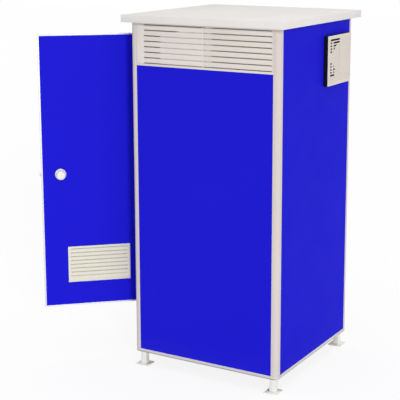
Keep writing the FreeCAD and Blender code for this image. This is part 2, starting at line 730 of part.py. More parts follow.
def hinges():
    """Three butt hinges: a leaf on the jamb, a leaf on the door and a pin through their knuckles."""
    jamb_leaves, door_leaves, pins = [], [], []
    half = "hinge_barrel_length / 2"
    third = "hinge_barrel_length / 6"
    heights = (f"{DOOR_BOTTOM} + hinge_end_distance", f"({DOOR_BOTTOM} + {DOOR_TOP}) / 2",
               f"{DOOR_TOP} - hinge_end_distance")
    for index, middle in enumerate(heights):
        bottom, top = f"({middle} - {half})", f"({middle} + {half})"
        low, high = f"({middle} - {third})", f"({middle} + {third})"
        leaf_y = ("0 - hinge_offset", "0 - hinge_offset + hinge_leaf_thickness")
        plate = block(f"jamb_leaf_{index}", ("0 - hinge_leaf_width", "0"), leaf_y, (bottom, top))
        barrel = rod(f"jamb_barrel_{index}", "z", "hinge_barrel_radius", (bottom, top), ("0", "0"))
        notch = block(f"jamb_notch_{index}", ("0 - hinge_barrel_radius - 1", "hinge_barrel_radius + 1"),
                      ("0 - hinge_offset - 1", "hinge_barrel_radius + 1"),
                      (f"{low} - hinge_knuckle_gap", f"{high} + hinge_knuckle_gap"))
        bore = rod(f"jamb_bore_{index}", "z", "hinge_pin_radius", (f"{bottom} - 1", f"{top} + 1"), ("0", "0"))
        fixed_leaf = joined(f"jamb_body_{index}", plate, barrel)
        jamb_leaves.append(cut(f"jamb_hinge_{index}", fixed_leaf, notch, bore))
        plate = block(f"door_leaf_plate_{index}", ("0", "hinge_leaf_width"), leaf_y, (low, high))
        barrel = rod(f"door_barrel_{index}", "z", "hinge_barrel_radius", (low, high), ("0", "0"))
        bore = rod(f"door_bore_{index}", "z", "hinge_pin_radius + hinge_running_gap",
                   (f"{low} - 1", f"{high} + 1"), ("0", "0"))
        door_leaves.append(cut(f"door_hinge_{index}", joined(f"door_body_{index}", plate, barrel), bore))
        pins.append(rod(f"hinge_pin_{index}", "z", "hinge_pin_radius", (bottom, top), ("0", "0")))
    for label, pieces in (("hinge_leaves_jamb", jamb_leaves), ("hinge_pins", pins)):
        fixed = group(label, *pieces)
        fixed.Placement = Placement(Vector(), Rotation(Vector(0, 0, 1), 180))
        place(fixed, "jamb_edge", f"0 - {BACK} - hinge_offset")
        keep(label, fixed)
    hang("hinge_leaves_door", group("hinge_leaves_door_set", *door_leaves))


def fan():
    """An extractor in a round duct through the back wall, behind a black box with a slotted cover."""
    wall = PANEL_OUT_Y
    box_end = f"({wall} + fan_box_depth + panel_recess)"
    half_x, half_z = "fan_box_width / 2", "fan_box_height / 2"
    frame_x = (f"{FAN_X} - {half_x}", f"{FAN_X} + {half_x}")
    frame_z = (f"{FAN_Z} - {half_z}", f"{FAN_Z} + {half_z}")
    shell = block("fan_box_blank", frame_x, (wall, box_end), frame_z)
    inside = block("fan_box_inside", narrowed(frame_x, "fan_box_wall"),
                   (f"{wall} + fan_box_wall", f"{box_end} + 1"), narrowed(frame_z, "fan_box_wall"))
    bore_radius = "fan_duct_radius - fan_duct_wall"
    axis = (FAN_X, FAN_Z)
    mouth = rod("fan_box_mouth", "y", bore_radius, (f"{wall} - 1", f"{box_end}"), axis)
    keep("fan_box", cut("fan_box", shell, inside, mouth))

    cover = block("fan_cover_blank", frame_x, (box_end, f"{box_end} + fan_cover_thickness"), frame_z)
    slots = []
    for index in range(round(value("(fan_box_height - 2 * fan_cover_border) / fan_cover_pitch"))):
        low = f"{frame_z[0]} + fan_cover_border + {index} * fan_cover_pitch"
        slots.append(block(f"fan_cover_slot_{index}", narrowed(frame_x, "fan_cover_border"),
                           (f"{box_end} - 1", f"{box_end} + fan_cover_thickness + 1"),
                           (low, f"{low} + fan_cover_slot")))
    keep("fan_cover", cut("fan_cover", cover, *slots))

    duct_start = f"{PANEL_IN_Y} - fan_duct_tail"
    duct = rod("fan_duct_blank", "y", "fan_duct_radius", (duct_start, wall), axis)
    bore = rod("fan_duct_bore", "y", bore_radius, (f"{duct_start} - 1", f"{wall} + 1"), axis)
    rim = "(fan_hole / 2 + fan_flange_width)"
    flange = block("fan_flange_blank", (f"{FAN_X} - {rim}", f"{FAN_X} + {rim}"),
                   (f"{PANEL_IN_Y} - fan_duct_wall", PANEL_IN_Y), (f"{FAN_Z} - {rim}", f"{FAN_Z} + {rim}"))
    tube = cut("fan_duct_tube", joined("fan_duct_solid", duct, flange), bore)
    reach = "fan_duct_radius - fan_duct_wall / 2"
    strut_y = (duct_start, f"{duct_start} + strut_thickness")
    level = block("fan_strut_level", (f"{FAN_X} - {reach}", f"{FAN_X} + {reach}"), strut_y,
                  (f"{FAN_Z} - strut_width / 2", f"{FAN_Z} + strut_width / 2"))
    upright = block("fan_strut_upright", (f"{FAN_X} - strut_width / 2", f"{FAN_X} + strut_width / 2"),
                    strut_y, (f"{FAN_Z} - ({reach})", f"{FAN_Z} + {reach}"))
    keep("fan_duct", joined("fan_duct", tube, level, upright))

    motor_start = f"{duct_start} + strut_thickness"
    motor_end = f"({motor_start} + motor_length)"
    can = rod("motor_can", "y", "motor_radius", (motor_start, motor_end), axis)
    bore = rod("motor_bore", "y", "fan_shaft_radius + fan_running_gap",
               (f"{motor_end} - motor_bearing", f"{motor_end} + 1"), axis)
    keep("fan_motor", cut("fan_motor", can, bore))

    hub_start = f"{motor_end} + motor_gap"
    rotor = doc.addObject("Part::Feature", "fan_rotor")
    radius = value("fan_duct_radius - fan_duct_wall - fan_blade_gap")
    hub_radius, hub_length = value("fan_hub_radius"), value("fan_hub_length")
    along = Vector(0, 1, 0)
    solid = Part.makeCylinder(hub_radius, hub_length, Vector(), along)
    sweep = Part.makeCylinder(radius, hub_length, Vector(), along)
    count = round(value("fan_blade_count"))
    chord, thick = value("fan_blade_chord"), value("fan_blade_thickness")
    for index in range(count):
        blade = Part.makeBox(radius, thick, chord, Vector(0, -thick / 2, -chord / 2))
        blade.rotate(Vector(), Vector(1, 0, 0), value("fan_blade_pitch") - 90)
        blade.translate(Vector(0, hub_length / 2, 0))
        blade.rotate(Vector(), along, index * 360 / count)
        solid = solid.fuse(blade.common(sweep))
    shaft_length = value("motor_gap + motor_bearing - 1")
    shaft = Part.makeCylinder(value("fan_shaft_radius"), shaft_length + hub_length / 2,
                              Vector(0, -shaft_length, 0), along)
    rotor.Shape = solid.fuse(shaft).removeSplitter()
    rotor.Placement = Placement(Vector(value(FAN_X), value(hub_start), value(FAN_Z)), Rotation())
    keep("fan_rotor", rotor)


def floor_and_pan():
    """A raised floor on two bearers, with a squat pan let into it and a drain straight down."""
    pan_x = ("0 - pan_width / 2", "pan_width / 2")
    pan_y = ("pan_place - pan_length / 2", "pan_place + pan_length / 2")
    bowl_x = ("0 - pan_bowl_width / 2", "pan_bowl_width / 2")
    bowl_y = ("pan_place - pan_bowl_length / 2", "pan_place + pan_bowl_length / 2")
    bowl_bottom = f"({FLOOR_TOP} - pan_bowl_depth)"
    shell_x, shell_y = widened(bowl_x, "pan_wall"), widened(bowl_y, "pan_wall")
    drain_y = f"({bowl_y[1]} - drain_radius - pan_wall)"

    depth = (f"frame_depth - {BACK} + wall_gap", f"{INNER_Y} - wall_gap")
    board = block("floor_blank", (f"wall_gap - {PANEL_IN_X}", f"{PANEL_IN_X} - wall_gap"),
                  depth, (FLOOR_BOTTOM, FLOOR_TOP))
    hole = rounded_block("floor_hole", widened(shell_x, "pan_clearance"), widened(shell_y, "pan_clearance"),
                         (f"{FLOOR_BOTTOM} - 1", f"{FLOOR_TOP} + 1"), "pan_corner + pan_wall + pan_clearance")
    boss_x = ("0 - flush_pipe_radius - flush_pipe_wall", "flush_pipe_radius + flush_pipe_wall")
    boss_y = (f"{shell_y[1]} - 1", f"{FLUSH_Y} + flush_pipe_radius + flush_pipe_wall")
    notch = block("floor_notch", widened(boss_x, "pan_clearance"), widened(boss_y, "pan_clearance"),
                  (f"{FLOOR_BOTTOM} - 1", f"{FLOOR_TOP} + 1"))
    keep("floor_panel", cut("floor_panel", board, hole, notch))
    bearers = []
    for side in (-1, 1):
        bearers.append(block(f"floor_bearer_{side + 1}",
                             across(side, f"{PANEL_IN_X} - bearer_size", PANEL_IN_X), depth,
                             (f"{FLOOR_BOTTOM} - bearer_size", FLOOR_BOTTOM)))
    keep("floor_bearers", group("floor_bearers", *bearers))

    bowl_base = f"{bowl_bottom} - pan_wall"
    rim_top = f"{FLOOR_TOP} + pan_rim"
    rim = rounded_block("pan_rim_plate", pan_x, pan_y, (FLOOR_TOP, rim_top), "pan_corner")
    shell = rounded_block("pan_shell", shell_x, shell_y, (bowl_base, FLOOR_TOP), "pan_corner + pan_wall")
    room = rounded_block("pan_room", bowl_x, bowl_y, (bowl_bottom, f"{rim_top} + 1"), "pan_corner")
    outlet = rod("pan_outlet", "z", "drain_radius - drain_wall", (f"{bowl_base} - 1", f"{bowl_bottom} + 1"),
                 ("0", drain_y))
    flush = rod("pan_flush_hole", "z", "flush_pipe_radius - flush_pipe_wall",
                (f"{FLOOR_TOP} - pan_flush_depth", f"{rim_top} + 1"), ("0", FLUSH_Y))
    way = rod("pan_flush_way", "y", "flush_pipe_radius - 2 * flush_pipe_wall", (f"{bowl_y[1]} - 1", FLUSH_Y),
              ("0", f"{FLOOR_TOP} - pan_flush_depth + flush_pipe_radius"))
    boss = block("pan_flush_boss", boss_x, boss_y, (f"{FLOOR_TOP} - pan_flush_depth - pan_wall", rim_top))
    keep("squat_pan", cut("squat_pan", joined("pan_solid", rim, shell, boss), room, outlet, flush, way))

    pipe = rod("drain_blank", "z", "drain_radius", ("drain_end", bowl_base), ("0", drain_y))
    bore = rod("drain_bore", "z", "drain_radius - drain_wall", ("drain_end - 1", f"{bowl_base} + 1"),
               ("0", drain_y))
    keep("drain_pipe", cut("drain_pipe", pipe, bore))


def cistern():
    """A low cistern on the back wall with its button, valves, pipe to the pan and supply pipe."""
    x = ("0 - cistern_width / 2", "cistern_width / 2")
    y = (f"{PANEL_IN_Y} - cistern_depth", PANEL_IN_Y)
    top = f"({CISTERN_BOTTOM} + cistern_height)"
    tank = block("cistern_blank", x, y, (CISTERN_BOTTOM, top))
    room = block("cistern_room", narrowed(x, "cistern_wall"), narrowed(y, "cistern_wall"),
                 (f"{CISTERN_BOTTOM} + cistern_wall", f"{top} + 1"))
    outlet = rod("cistern_outlet", "z", "flush_pipe_radius - flush_pipe_wall",
                 (f"{CISTERN_BOTTOM} - 1", f"{CISTERN_BOTTOM} + cistern_wall + 1"), ("0", FLUSH_Y))
    inlet = rod("cistern_inlet", "x", "supply_pipe_radius - supply_pipe_wall",
                (f"{x[0]} - 1", f"{x[0]} + cistern_wall + 1"), (CISTERN_Y, SUPPLY_Z))
    keep("cistern_tank", cut("cistern_tank", tank, room, outlet, inlet))
    lid = block("cistern_lid_blank", x, y, (top, f"{top} + cistern_lid"))
    lid_top = f"{top} + cistern_lid"
    bore = rod("cistern_lid_bore", "z", "button_radius + button_gap", (f"{top} - 1", f"{lid_top} + 1"),
               ("0", CISTERN_Y))
    keep("cistern_lid", cut("cistern_lid", lid, bore))
    keep("flush_button", rod("flush_button", "z", "button_radius",
                             (f"{lid_top} - button_depth", f"{lid_top} + button_rise"), ("0", CISTERN_Y)))
    valve_foot = f"({CISTERN_BOTTOM} + cistern_wall)"
    valve_top = f"({top} + cistern_lid - button_depth - button_travel - button_gap)"
    valve = rod("valve_body", "z", "flush_valve_radius", (valve_foot, f"{valve_foot} + flush_valve_height"),
                ("0", FLUSH_Y))
    stem = rod("valve_stem", "z", "overflow_radius", (valve_foot, valve_top), ("0", FLUSH_Y))
    keep("flush_valve", joined("flush_valve", valve, stem))
    inner_wall = f"({x[0]} + cistern_wall)"
    arm = rod("float_arm", "x", "float_valve_radius", (inner_wall, f"0 - float_place"), (CISTERN_Y, SUPPLY_Z))
    half_float = "float_width / 2"
    ball = block("float_body", (f"0 - float_place - {half_float}", f"{half_float} - float_place"),
                 (f"{CISTERN_Y} - {half_float}", f"{CISTERN_Y} + {half_float}"),
                 (f"{SUPPLY_Z} - float_height", SUPPLY_Z))
    keep("float_valve", joined("float_valve", arm, ball))
    pipe = rod("flush_pipe_blank", "z", "flush_pipe_radius", (f"{FLOOR_TOP} + pan_rim", CISTERN_BOTTOM),
               ("0", FLUSH_Y))
    bore = rod("flush_pipe_bore", "z", "flush_pipe_radius - flush_pipe_wall",
               (f"{FLOOR_TOP}", f"{CISTERN_BOTTOM} + 1"), ("0", FLUSH_Y))
    keep("flush_pipe", cut("flush_pipe", pipe, bore))
    end = f"0 - {RIGHT} - supply_stub"
    pipe = rod("supply_tube", "x", "supply_pipe_radius", (end, x[0]), (CISTERN_Y, SUPPLY_Z))
    thread = rod("supply_thread", "x", "supply_thread_radius", (end, f"0 - {RIGHT}"), (CISTERN_Y, SUPPLY_Z))
    bore = rod("supply_bore", "x", "supply_pipe_radius - supply_pipe_wall", (f"{end} - 1", f"{x[0]} + 1"),
               (CISTERN_Y, SUPPLY_Z))
    keep("supply_pipe", cut("supply_pipe", joined("supply_solid", pipe, thread), bore))


def paper_holder():
    """A plate on the left wall with two arms and a rod through the roll."""
    wall = f"(0 - {PANEL_IN_X})"
    y = ("holder_place - holder_plate / 2", "holder_place + holder_plate / 2")
    level = f"({FLOOR_TOP} + holder_level)"
    axis_x = f"({wall} + roll_radius + 2 * holder_arm)"
    plate = block("holder_back", (wall, f"{wall} + holder_arm"), y,
                  (f"{level} - holder_plate_height / 2", f"{level} + holder_plate_height / 2"))
    arms = []
    for side, edge in ((0, y[0]), (1, f"{y[1]} - holder_arm")):
        arms.append(block(f"holder_arm_{side}", (wall, f"{axis_x} + holder_rod_radius + holder_arm"),
                          (edge, f"{edge} + holder_arm"), (f"{level} - holder_rod_radius - holder_arm",
                          f"{level} + holder_rod_radius + holder_arm")))
    spindle = rod("holder_rod", "y", "holder_rod_radius", y, (axis_x, level))
    keep("paper_holder", joined("paper_holder", plate, *arms, spindle))
    span = ("holder_place - roll_width / 2", "holder_place + roll_width / 2")
    drop = "(roll_core_radius - holder_rod_radius - holder_gap)"
    at = (axis_x, f"{level} - {drop}")
    keep("paper_roll", cut("paper_roll", rod("roll_blank", "y", "roll_radius", span, at),
                           rod("roll_core", "y", "roll_core_radius", widened(span, "1"), at)))


def light():
    """A round lamp under the ceiling, and its rocker switch inside the hinge side of the door."""
    seat = f"{WALL_TOP} - lamp_base"
    keep("lamp_base", rod("lamp_base", "z", "lamp_radius", (seat, WALL_TOP), ("0", "0")))
    keep("lamp_cover", rod("lamp_cover", "z", "lamp_radius - lamp_base", (f"{seat} - lamp_height", seat),
                           ("0", "0")))
    x = (f"{SWITCH_X} - switch_size / 2", f"{SWITCH_X} + switch_size / 2")
    wall = f"(0 - {PANEL_IN_Y})"
    y = (wall, f"{wall} + switch_plate_thickness")
    z = (f"{SWITCH_Z} - switch_size / 2", f"{SWITCH_Z} + switch_size / 2")
    half_x, half_z = "rocker_width / 2", "rocker_height / 2"
    rocker_x = (f"{SWITCH_X} - {half_x}", f"{SWITCH_X} + {half_x}")
    rocker_z = (f"{SWITCH_Z} - {half_z}", f"{SWITCH_Z} + {half_z}")
    well = block("switch_well", widened(rocker_x, "rocker_gap"),
                 (f"{y[1]} - rocker_thickness", f"{y[1]} + 1"), widened(rocker_z, "rocker_gap"))
    axle_x = widened(rocker_x, "rocker_gap + rocker_axle_reach")
    axle_at = (f"{y[1]} - rocker_thickness / 2 + rocker_axle_radius", SWITCH_Z)
    bearing = rod("rocker_bearing", "x", "rocker_axle_radius + rocker_running_gap", axle_x, axle_at)
    keep("switch_plate", cut("switch_plate", block("switch_blank", x, y, z), well, bearing))
    key = new_body("rocker_key")
    side = new_sketch(key, "rocker_side", "YZ_Plane")
    back, front = f"{y[1]} - rocker_thickness / 2", f"{y[1]} + rocker_proud"
    outline(side, [(back, rocker_z[0]), (f"{front} + rocker_rise", rocker_z[0]), (front, SWITCH_Z),
                   (front, rocker_z[1]), (back, rocker_z[1])])
    pad(key, side, "rocker_width")
    place(key, x=rocker_x[0])
    axle = rod("rocker_axle", "x", "rocker_axle_radius", narrowed(axle_x, "rocker_running_gap"), axle_at)
    keep("switch_rocker", joined("switch_rocker", key, axle))


def check_and_write():
    doc.recompute()
    failed = [item.Name for item in doc.Objects if {"Invalid", "Error"} & set(item.State)]
    if failed:
        raise RuntimeError("did not rebuild: " + ", ".join(failed))
    for label, item in SUBPARTS.items():
        shape = item.Shape
        if shape.isNull() or not shape.isValid() or not shape.Solids:
            raise RuntimeError(f"{label} has no sound solid")
    os.makedirs("parts", exist_ok=True)
    for label, item in SUBPARTS.items():
        item.Shape.exportStep(f"parts/{label}.step")
    print(len(SUBPARTS), "sub-parts written")


corner_posts()
feet()
base_frame()
walls()
door_frame()
louvre_band()
roof()
door()
lock()
hinges()
fan()
floor_and_pan()
cistern()
paper_holder()
light()
check_and_write()
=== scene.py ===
import json
from math import cos, pi, radians, sin

import bmesh
import bpy
from mathutils import Matrix, Vector

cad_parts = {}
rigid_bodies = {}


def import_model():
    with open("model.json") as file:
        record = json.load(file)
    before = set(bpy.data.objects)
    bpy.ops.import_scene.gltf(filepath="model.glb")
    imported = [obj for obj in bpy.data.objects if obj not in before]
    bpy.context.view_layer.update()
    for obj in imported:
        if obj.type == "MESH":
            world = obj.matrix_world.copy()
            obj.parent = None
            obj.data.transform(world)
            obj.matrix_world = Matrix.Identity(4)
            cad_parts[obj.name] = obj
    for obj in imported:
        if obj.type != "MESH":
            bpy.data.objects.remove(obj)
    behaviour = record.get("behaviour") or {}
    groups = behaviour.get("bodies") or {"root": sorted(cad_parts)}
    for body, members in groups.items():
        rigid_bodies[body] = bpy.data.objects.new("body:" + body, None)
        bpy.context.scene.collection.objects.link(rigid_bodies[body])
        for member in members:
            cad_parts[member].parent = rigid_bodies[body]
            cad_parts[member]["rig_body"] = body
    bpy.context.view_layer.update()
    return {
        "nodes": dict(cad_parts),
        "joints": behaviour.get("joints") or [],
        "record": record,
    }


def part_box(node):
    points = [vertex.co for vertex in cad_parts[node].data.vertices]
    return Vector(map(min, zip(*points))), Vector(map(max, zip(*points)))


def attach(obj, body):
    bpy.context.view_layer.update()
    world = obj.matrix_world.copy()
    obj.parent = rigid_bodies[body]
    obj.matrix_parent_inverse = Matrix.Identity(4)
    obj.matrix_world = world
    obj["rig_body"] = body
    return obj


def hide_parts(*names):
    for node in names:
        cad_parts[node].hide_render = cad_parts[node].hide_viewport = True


# The portable toilet cabin: finishes for every piece of the frame, and the formed pieces that the
# frame holds only as plain solids. Lengths are in metres, in the frame's own axes.

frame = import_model()

NODES = frame["nodes"]
SLOTS = {part["node"]: part["material_slot"] for part in frame["record"]["subparts"]}
JOINTS = {joint["name"]: joint for joint in frame["joints"]}
MM = 0.001
WHITE = (1, 1, 1, 1)
BLACK = (0, 0, 0, 1)
# The corners of a square from -1 to 1, in the order of a walk round it
SQUARE = ((1, -1), (1, 1), (-1, 1), (-1, -1))


def add_object(name, data):
    item = bpy.data.objects.new(name, data)
    bpy.context.scene.collection.objects.link(item)
    return item


# Ways to build a node tree

def add_node(tree, kind, inputs=None, **settings):
    """A node with its settings. Each input, by name or number, takes a value or another node's socket."""
    node = tree.nodes.new(kind)
    for label, value in settings.items():
        setattr(node, label, value)
    for label, given in (inputs or {}).items():
        if isinstance(given, bpy.types.NodeSocket):
            tree.links.new(given, node.inputs[label])
        else:
            node.inputs[label].default_value = given
    return node


def new_group(name, inputs, outputs, kind="ShaderNodeTree"):
    """A group with named sockets, some with a value, and the ends of those sockets inside it."""
    group = bpy.data.node_groups.new(name, kind)
    for way, sockets in (("INPUT", inputs), ("OUTPUT", outputs)):
        for label, sort, *value in sockets:
            socket = group.interface.new_socket(name=label, in_out=way, socket_type="NodeSocket" + sort)
            if value:
                socket.default_value = value[0]
    given = group.nodes.new("NodeGroupInput")
    result = group.nodes.new("NodeGroupOutput")
    return group, given.outputs, result.inputs


def combined(tree, operation, first, second):
    return add_node(tree, "ShaderNodeMath", {0: first, 1: second}, operation=operation).outputs[0]


def blended(tree, share, first, second):
    """The first colour with a share of the second."""
    mix = add_node(tree, "ShaderNodeMix", {0: share, 6: first, 7: second}, data_type="RGBA")
    return mix.outputs[2]


def object_place(tree):
    return add_node(tree, "ShaderNodeTexCoord").outputs["Object"]


def object_noise(tree, scale, detail):
    """Noise on the object's own coordinates."""
    inputs = {"Vector": object_place(tree), "Scale": scale, "Detail": detail}
    return add_node(tree, "ShaderNodeTexNoise", inputs).outputs["Fac"]


def ranged(tree, value, start, end, low, high, **settings):
    """Runs from low to high while the value runs from start to end."""
    inputs = {"Value": value, "From Min": start, "From Max": end, "To Min": low, "To Max": high}
    return add_node(tree, "ShaderNodeMapRange", inputs, **settings).outputs["Result"]


# Camera, floor and light

CAMERA_PLACE = (6.6929, 3.6679, 2.9738)
CAMERA_HEADING = radians(119.828)
CAMERA_DIP = radians(11.106)
CAMERA_LENS = 101.79
CAMERA_SENSOR = 36
CAMERA_SHIFT = (-0.05625, -0.125)

FLOOR_REACH = 60
FLOOR_WHITE = (0.93, 0.93, 0.93, 1)
FLOOR_GLOW = 0.86
SKY_STRENGTH = 0.47
# Each lamp: heading from +X towards +Y, height, strength and spread, angles in degrees
LAMPS = {"low_key": (45, 18, 1.45, 9), "overhead": (0, 90, 1.25, 60)}


def place_camera():
    data = bpy.data.cameras.new("camera")
    data.sensor_width = CAMERA_SENSOR
    data.lens = CAMERA_LENS
    data.shift_x, data.shift_y = CAMERA_SHIFT
    camera = add_object("camera", data)
    camera.location = CAMERA_PLACE
    camera.rotation_euler = (pi / 2 - CAMERA_DIP, 0, CAMERA_HEADING)
    bpy.context.scene.camera = camera


def light_sky():
    """A plain pale sky. The camera and mirror-like surfaces see it as white."""
    world = bpy.data.worlds.new("sky")
    world.use_nodes = True
    bpy.context.scene.world = world
    tree = world.node_tree
    rays = add_node(tree, "ShaderNodeLightPath").outputs
    white = rays["Is Camera Ray"]
    for ray in ("Is Transmission Ray", "Is Glossy Ray"):
        white = combined(tree, "MAXIMUM", white, rays[ray])
    background = tree.nodes["Background"]
    tree.links.new(ranged(tree, white, 0, 1, SKY_STRENGTH, 1), background.inputs["Strength"])
    background.inputs["Color"].default_value = WHITE


def hang_lamps():
    for name, (heading, height, strength, spread) in LAMPS.items():
        data = bpy.data.lights.new(name, "SUN")
        data.energy = strength
        data.angle = radians(spread)
        lamp = add_object(name, data)
        lamp.rotation_euler = (radians(90 - height), 0, radians(90 + heading))


def lay_floor():
    """A pale floor that keeps a light shadow of the cabin."""
    mesh = bpy.data.meshes.new("floor")
    half = FLOOR_REACH / 2
    mesh.from_pydata([(x * half, y * half, 0) for x, y in SQUARE], [], [(0, 1, 2, 3)])
    floor = add_object("floor", mesh)
    material = bpy.data.materials.new("pale_floor")
    material.use_nodes = True
    tree = material.node_tree
    tree.nodes.clear()
    matt = add_node(tree, "ShaderNodeBsdfDiffuse", {"Color": FLOOR_WHITE})
    glow = add_node(tree, "ShaderNodeEmission")
    rays = add_node(tree, "ShaderNodeLightPath").outputs
    share = combined(tree, "MULTIPLY", rays["Is Camera Ray"], FLOOR_GLOW)
    mix = add_node(tree, "ShaderNodeMixShader", {0: share, 1: matt.outputs[0], 2: glow.outputs[0]})
    add_node(tree, "ShaderNodeOutputMaterial", {"Surface": mix.outputs[0]})
    mesh.materials.append(material)


# Effects that several finishes share

# Nearly all of the noise lies between these
NOISE_SPAN = (0.3, 0.7)


def make_drift():
    """Colour that is a little lighter and darker from place to place, as a sprayed coat is."""
    group, given, result = new_group(
        "coat_drift",
        [("Colour", "Color", WHITE), ("Depth", "Float", 0.04), ("Scale", "Float", 2.0)],
        [("Colour", "Color")])
    noise = object_noise(group, given["Scale"], 3)
    shade = ranged(group, noise, *NOISE_SPAN, given["Depth"], 0)
    group.links.new(blended(group, shade, given["Colour"], BLACK), result["Colour"])
    return group


def make_skin():
    """The fine skin of a surface: how rough it is from place to place, and its height for a bump."""
    group, given, result = new_group(
        "fine_skin",
        [("Rough Low", "Float", 0.3), ("Rough High", "Float", 0.4), ("Patch Scale", "Float", 6.0),
         ("Grain Scale", "Float", 400.0)],
        [("Roughness", "Float"), ("Height", "Float")])
    patches = object_noise(group, given["Patch Scale"], 4)
    rough = ranged(group, patches, *NOISE_SPAN, given["Rough Low"], given["Rough High"])
    group.links.new(rough, result["Roughness"])
    group.links.new(object_noise(group, given["Grain Scale"], 2), result["Height"])
    return group


def make_dust():
    """A thin veil of dust that is thickest near the ground and breaks up as it rises."""
    group, given, result = new_group(
        "ground_dust",
        [("Colour", "Color", WHITE), ("Dust", "Color", (0.42, 0.38, 0.31, 1)), ("Reach", "Float", 0.25),
         ("Amount", "Float", 0.15)],
        [("Colour", "Color")])
    place = add_node(group, "ShaderNodeSeparateXYZ", {0: object_place(group)}).outputs
    fall = ranged(group, place["Z"], 0, given["Reach"], 1, 0)
    veil = combined(group, "MULTIPLY", fall, object_noise(group, 14, 5))
    amount = combined(group, "MULTIPLY", veil, given["Amount"])
    group.links.new(blended(group, amount, given["Colour"], given["Dust"]), result["Colour"])
    return group


def make_brush():
    """Fine lines along one axis, as a brushing wheel or an extrusion die leaves."""
    group, given, result = new_group(
        "brushed_lines",
        [("Stretch", "Vector", (1, 1, 1)), ("Rough Low", "Float", 0.25), ("Rough High", "Float", 0.45)],
        [("Roughness", "Float"), ("Height", "Float")])
    stretched = add_node(group, "ShaderNodeVectorMath", {0: object_place(group), 1: given["Stretch"]},
                         operation="MULTIPLY")
    noise = add_node(group, "ShaderNodeTexNoise", {"Vector": stretched.outputs[0], "Scale": 1, "Detail": 3})
    height = noise.outputs["Fac"]
    rough = ranged(group, height, *NOISE_SPAN, given["Rough Low"], given["Rough High"])
    group.links.new(rough, result["Roughness"])
    group.links.new(height, result["Height"])
    return group


DRIFT = make_drift()
SKIN = make_skin()
DUST = make_dust()
BRUSH = make_brush()


# Finishes

COAT_ROUGH = 0.08
BLUE = (0.0132, 0.0113, 0.60)
INSIDE_WHITE = (0.62, 0.61, 0.59)
# A grey painted on as shade: the shadowed lower lip of the base rail
RAIL_PAINTED_SHADE = (0.40, 0.39, 0.36)
# How high the painted shade along the rail's lower lip reaches, and how faint it is away from the louvre side
RAIL_SHADE_HEIGHT = 9 * MM
RAIL_SHADE_ELSEWHERE = 0.3


def start_finish(name, specular, metallic=0.0):
    material = bpy.data.materials.new(name)
    material.use_nodes = True
    shader = material.node_tree.nodes["Principled BSDF"]
    shader.inputs["Specular IOR Level"].default_value = specular
    shader.inputs["Metallic"].default_value = metallic
    return material, material.node_tree, shader


def use_group(tree, group, **inputs):
    """Places a shared group in a finish. The sockets' names have spaces where these have underscores."""
    named = {label.replace("_", " "): given for label, given in inputs.items()}
    return add_node(tree, "ShaderNodeGroup", named, node_tree=group).outputs


def feed_shader(tree, shader, colour, roughness, height, strength, distance):
    """Joins a colour, a roughness and a height, as a bump, to the shader."""
    bump = add_node(tree, "ShaderNodeBump", {"Strength": strength, "Distance": distance, "Height": height})
    tree.links.new(colour, shader.inputs["Base Color"])
    tree.links.new(roughness, shader.inputs["Roughness"])
    tree.links.new(bump.outputs["Normal"], shader.inputs["Normal"])


def coated(name, colour, rough, specular=0.3, grain=400, grain_height=0.00006, depth=0.04, dust=0.0,
           bump=0.25, coat=0.0):
    """Paint, enamel, moulded plastic or glaze: a drifting colour under a fine skin, with dust low down."""
    material, tree, shader = start_finish(name, specular)
    shader.inputs["Coat Weight"].default_value = coat
    shader.inputs["Coat Roughness"].default_value = COAT_ROUGH
    shade = use_group(tree, DRIFT, Colour=(*colour, 1), Depth=depth)["Colour"]
    if dust:
        shade = use_group(tree, DUST, Colour=shade, Amount=dust)["Colour"]
    skin = use_group(tree, SKIN, Rough_Low=rough[0], Rough_High=rough[1], Grain_Scale=grain)
    feed_shader(tree, shader, shade, skin["Roughness"], skin["Height"], bump, grain_height)
    return material


def brushed(name, colour, stretch, rough, metallic=1.0):
    """Metal with fine lines along one axis."""
    material, tree, shader = start_finish(name, 0.5, metallic)
    shade = use_group(tree, DRIFT, Colour=(*colour, 1), Depth=0.08, Scale=9.0)["Colour"]
    lines = use_group(tree, BRUSH, Stretch=stretch, Rough_Low=rough[0], Rough_High=rough[1])
    feed_shader(tree, shader, shade, lines["Roughness"], lines["Height"], 0.15, 0.00003)
    return material


def tissue():
    """Soft paper with rows of small embossed dots."""
    material, tree, shader = start_finish("embossed_tissue", 0.1)
    shader.inputs["Sheen Weight"].default_value = 0.2
    shade = use_group(tree, DRIFT, Colour=(0.86, 0.85, 0.83, 1), Depth=0.05, Scale=40.0)["Colour"]
    skin = use_group(tree, SKIN, Rough_Low=0.85, Rough_High=0.95, Grain_Scale=900.0)
    dots = add_node(tree, "ShaderNodeTexVoronoi",
                    {"Vector": object_place(tree), "Scale": 210, "Randomness": 0.15})
    feed_shader(tree, shader, shade, skin["Roughness"], dots.outputs["Distance"], 0.5, 0.0006)
    return material


def lamp_glass():
    """Opal plastic that lets a little light through."""
    material = coated("opal_lens", (0.86, 0.86, 0.83), (0.25, 0.35), specular=0.4, grain=120, depth=0.02)
    shader = material.node_tree.nodes["Principled BSDF"]
    shader.inputs["Subsurface Weight"].default_value = 0.3
    shader.inputs["Subsurface Radius"].default_value = (0.02, 0.02, 0.02)
    return material


def lay_over(tree, share, colour):
    """Lays a second colour over a finish, as much of it as the share says."""
    base = tree.nodes["Principled BSDF"].inputs["Base Color"]
    tree.links.new(blended(tree, share, base.links[0].from_socket, (*colour, 1)), base)


def sandwich(name, outward, reach):
    """Coated sheet that is blue outside and off-white inside, parted by a plane square to outward."""
    material = coated(name, BLUE, (0.42, 0.52), specular=0.012, depth=0.03, dust=0.03, grain=260)
    tree = material.node_tree
    along = add_node(tree, "ShaderNodeVectorMath", {0: object_place(tree), 1: outward},
                     operation="DOT_PRODUCT")
    lay_over(tree, combined(tree, "LESS_THAN", along.outputs["Value"], reach), INSIDE_WHITE)
    return material


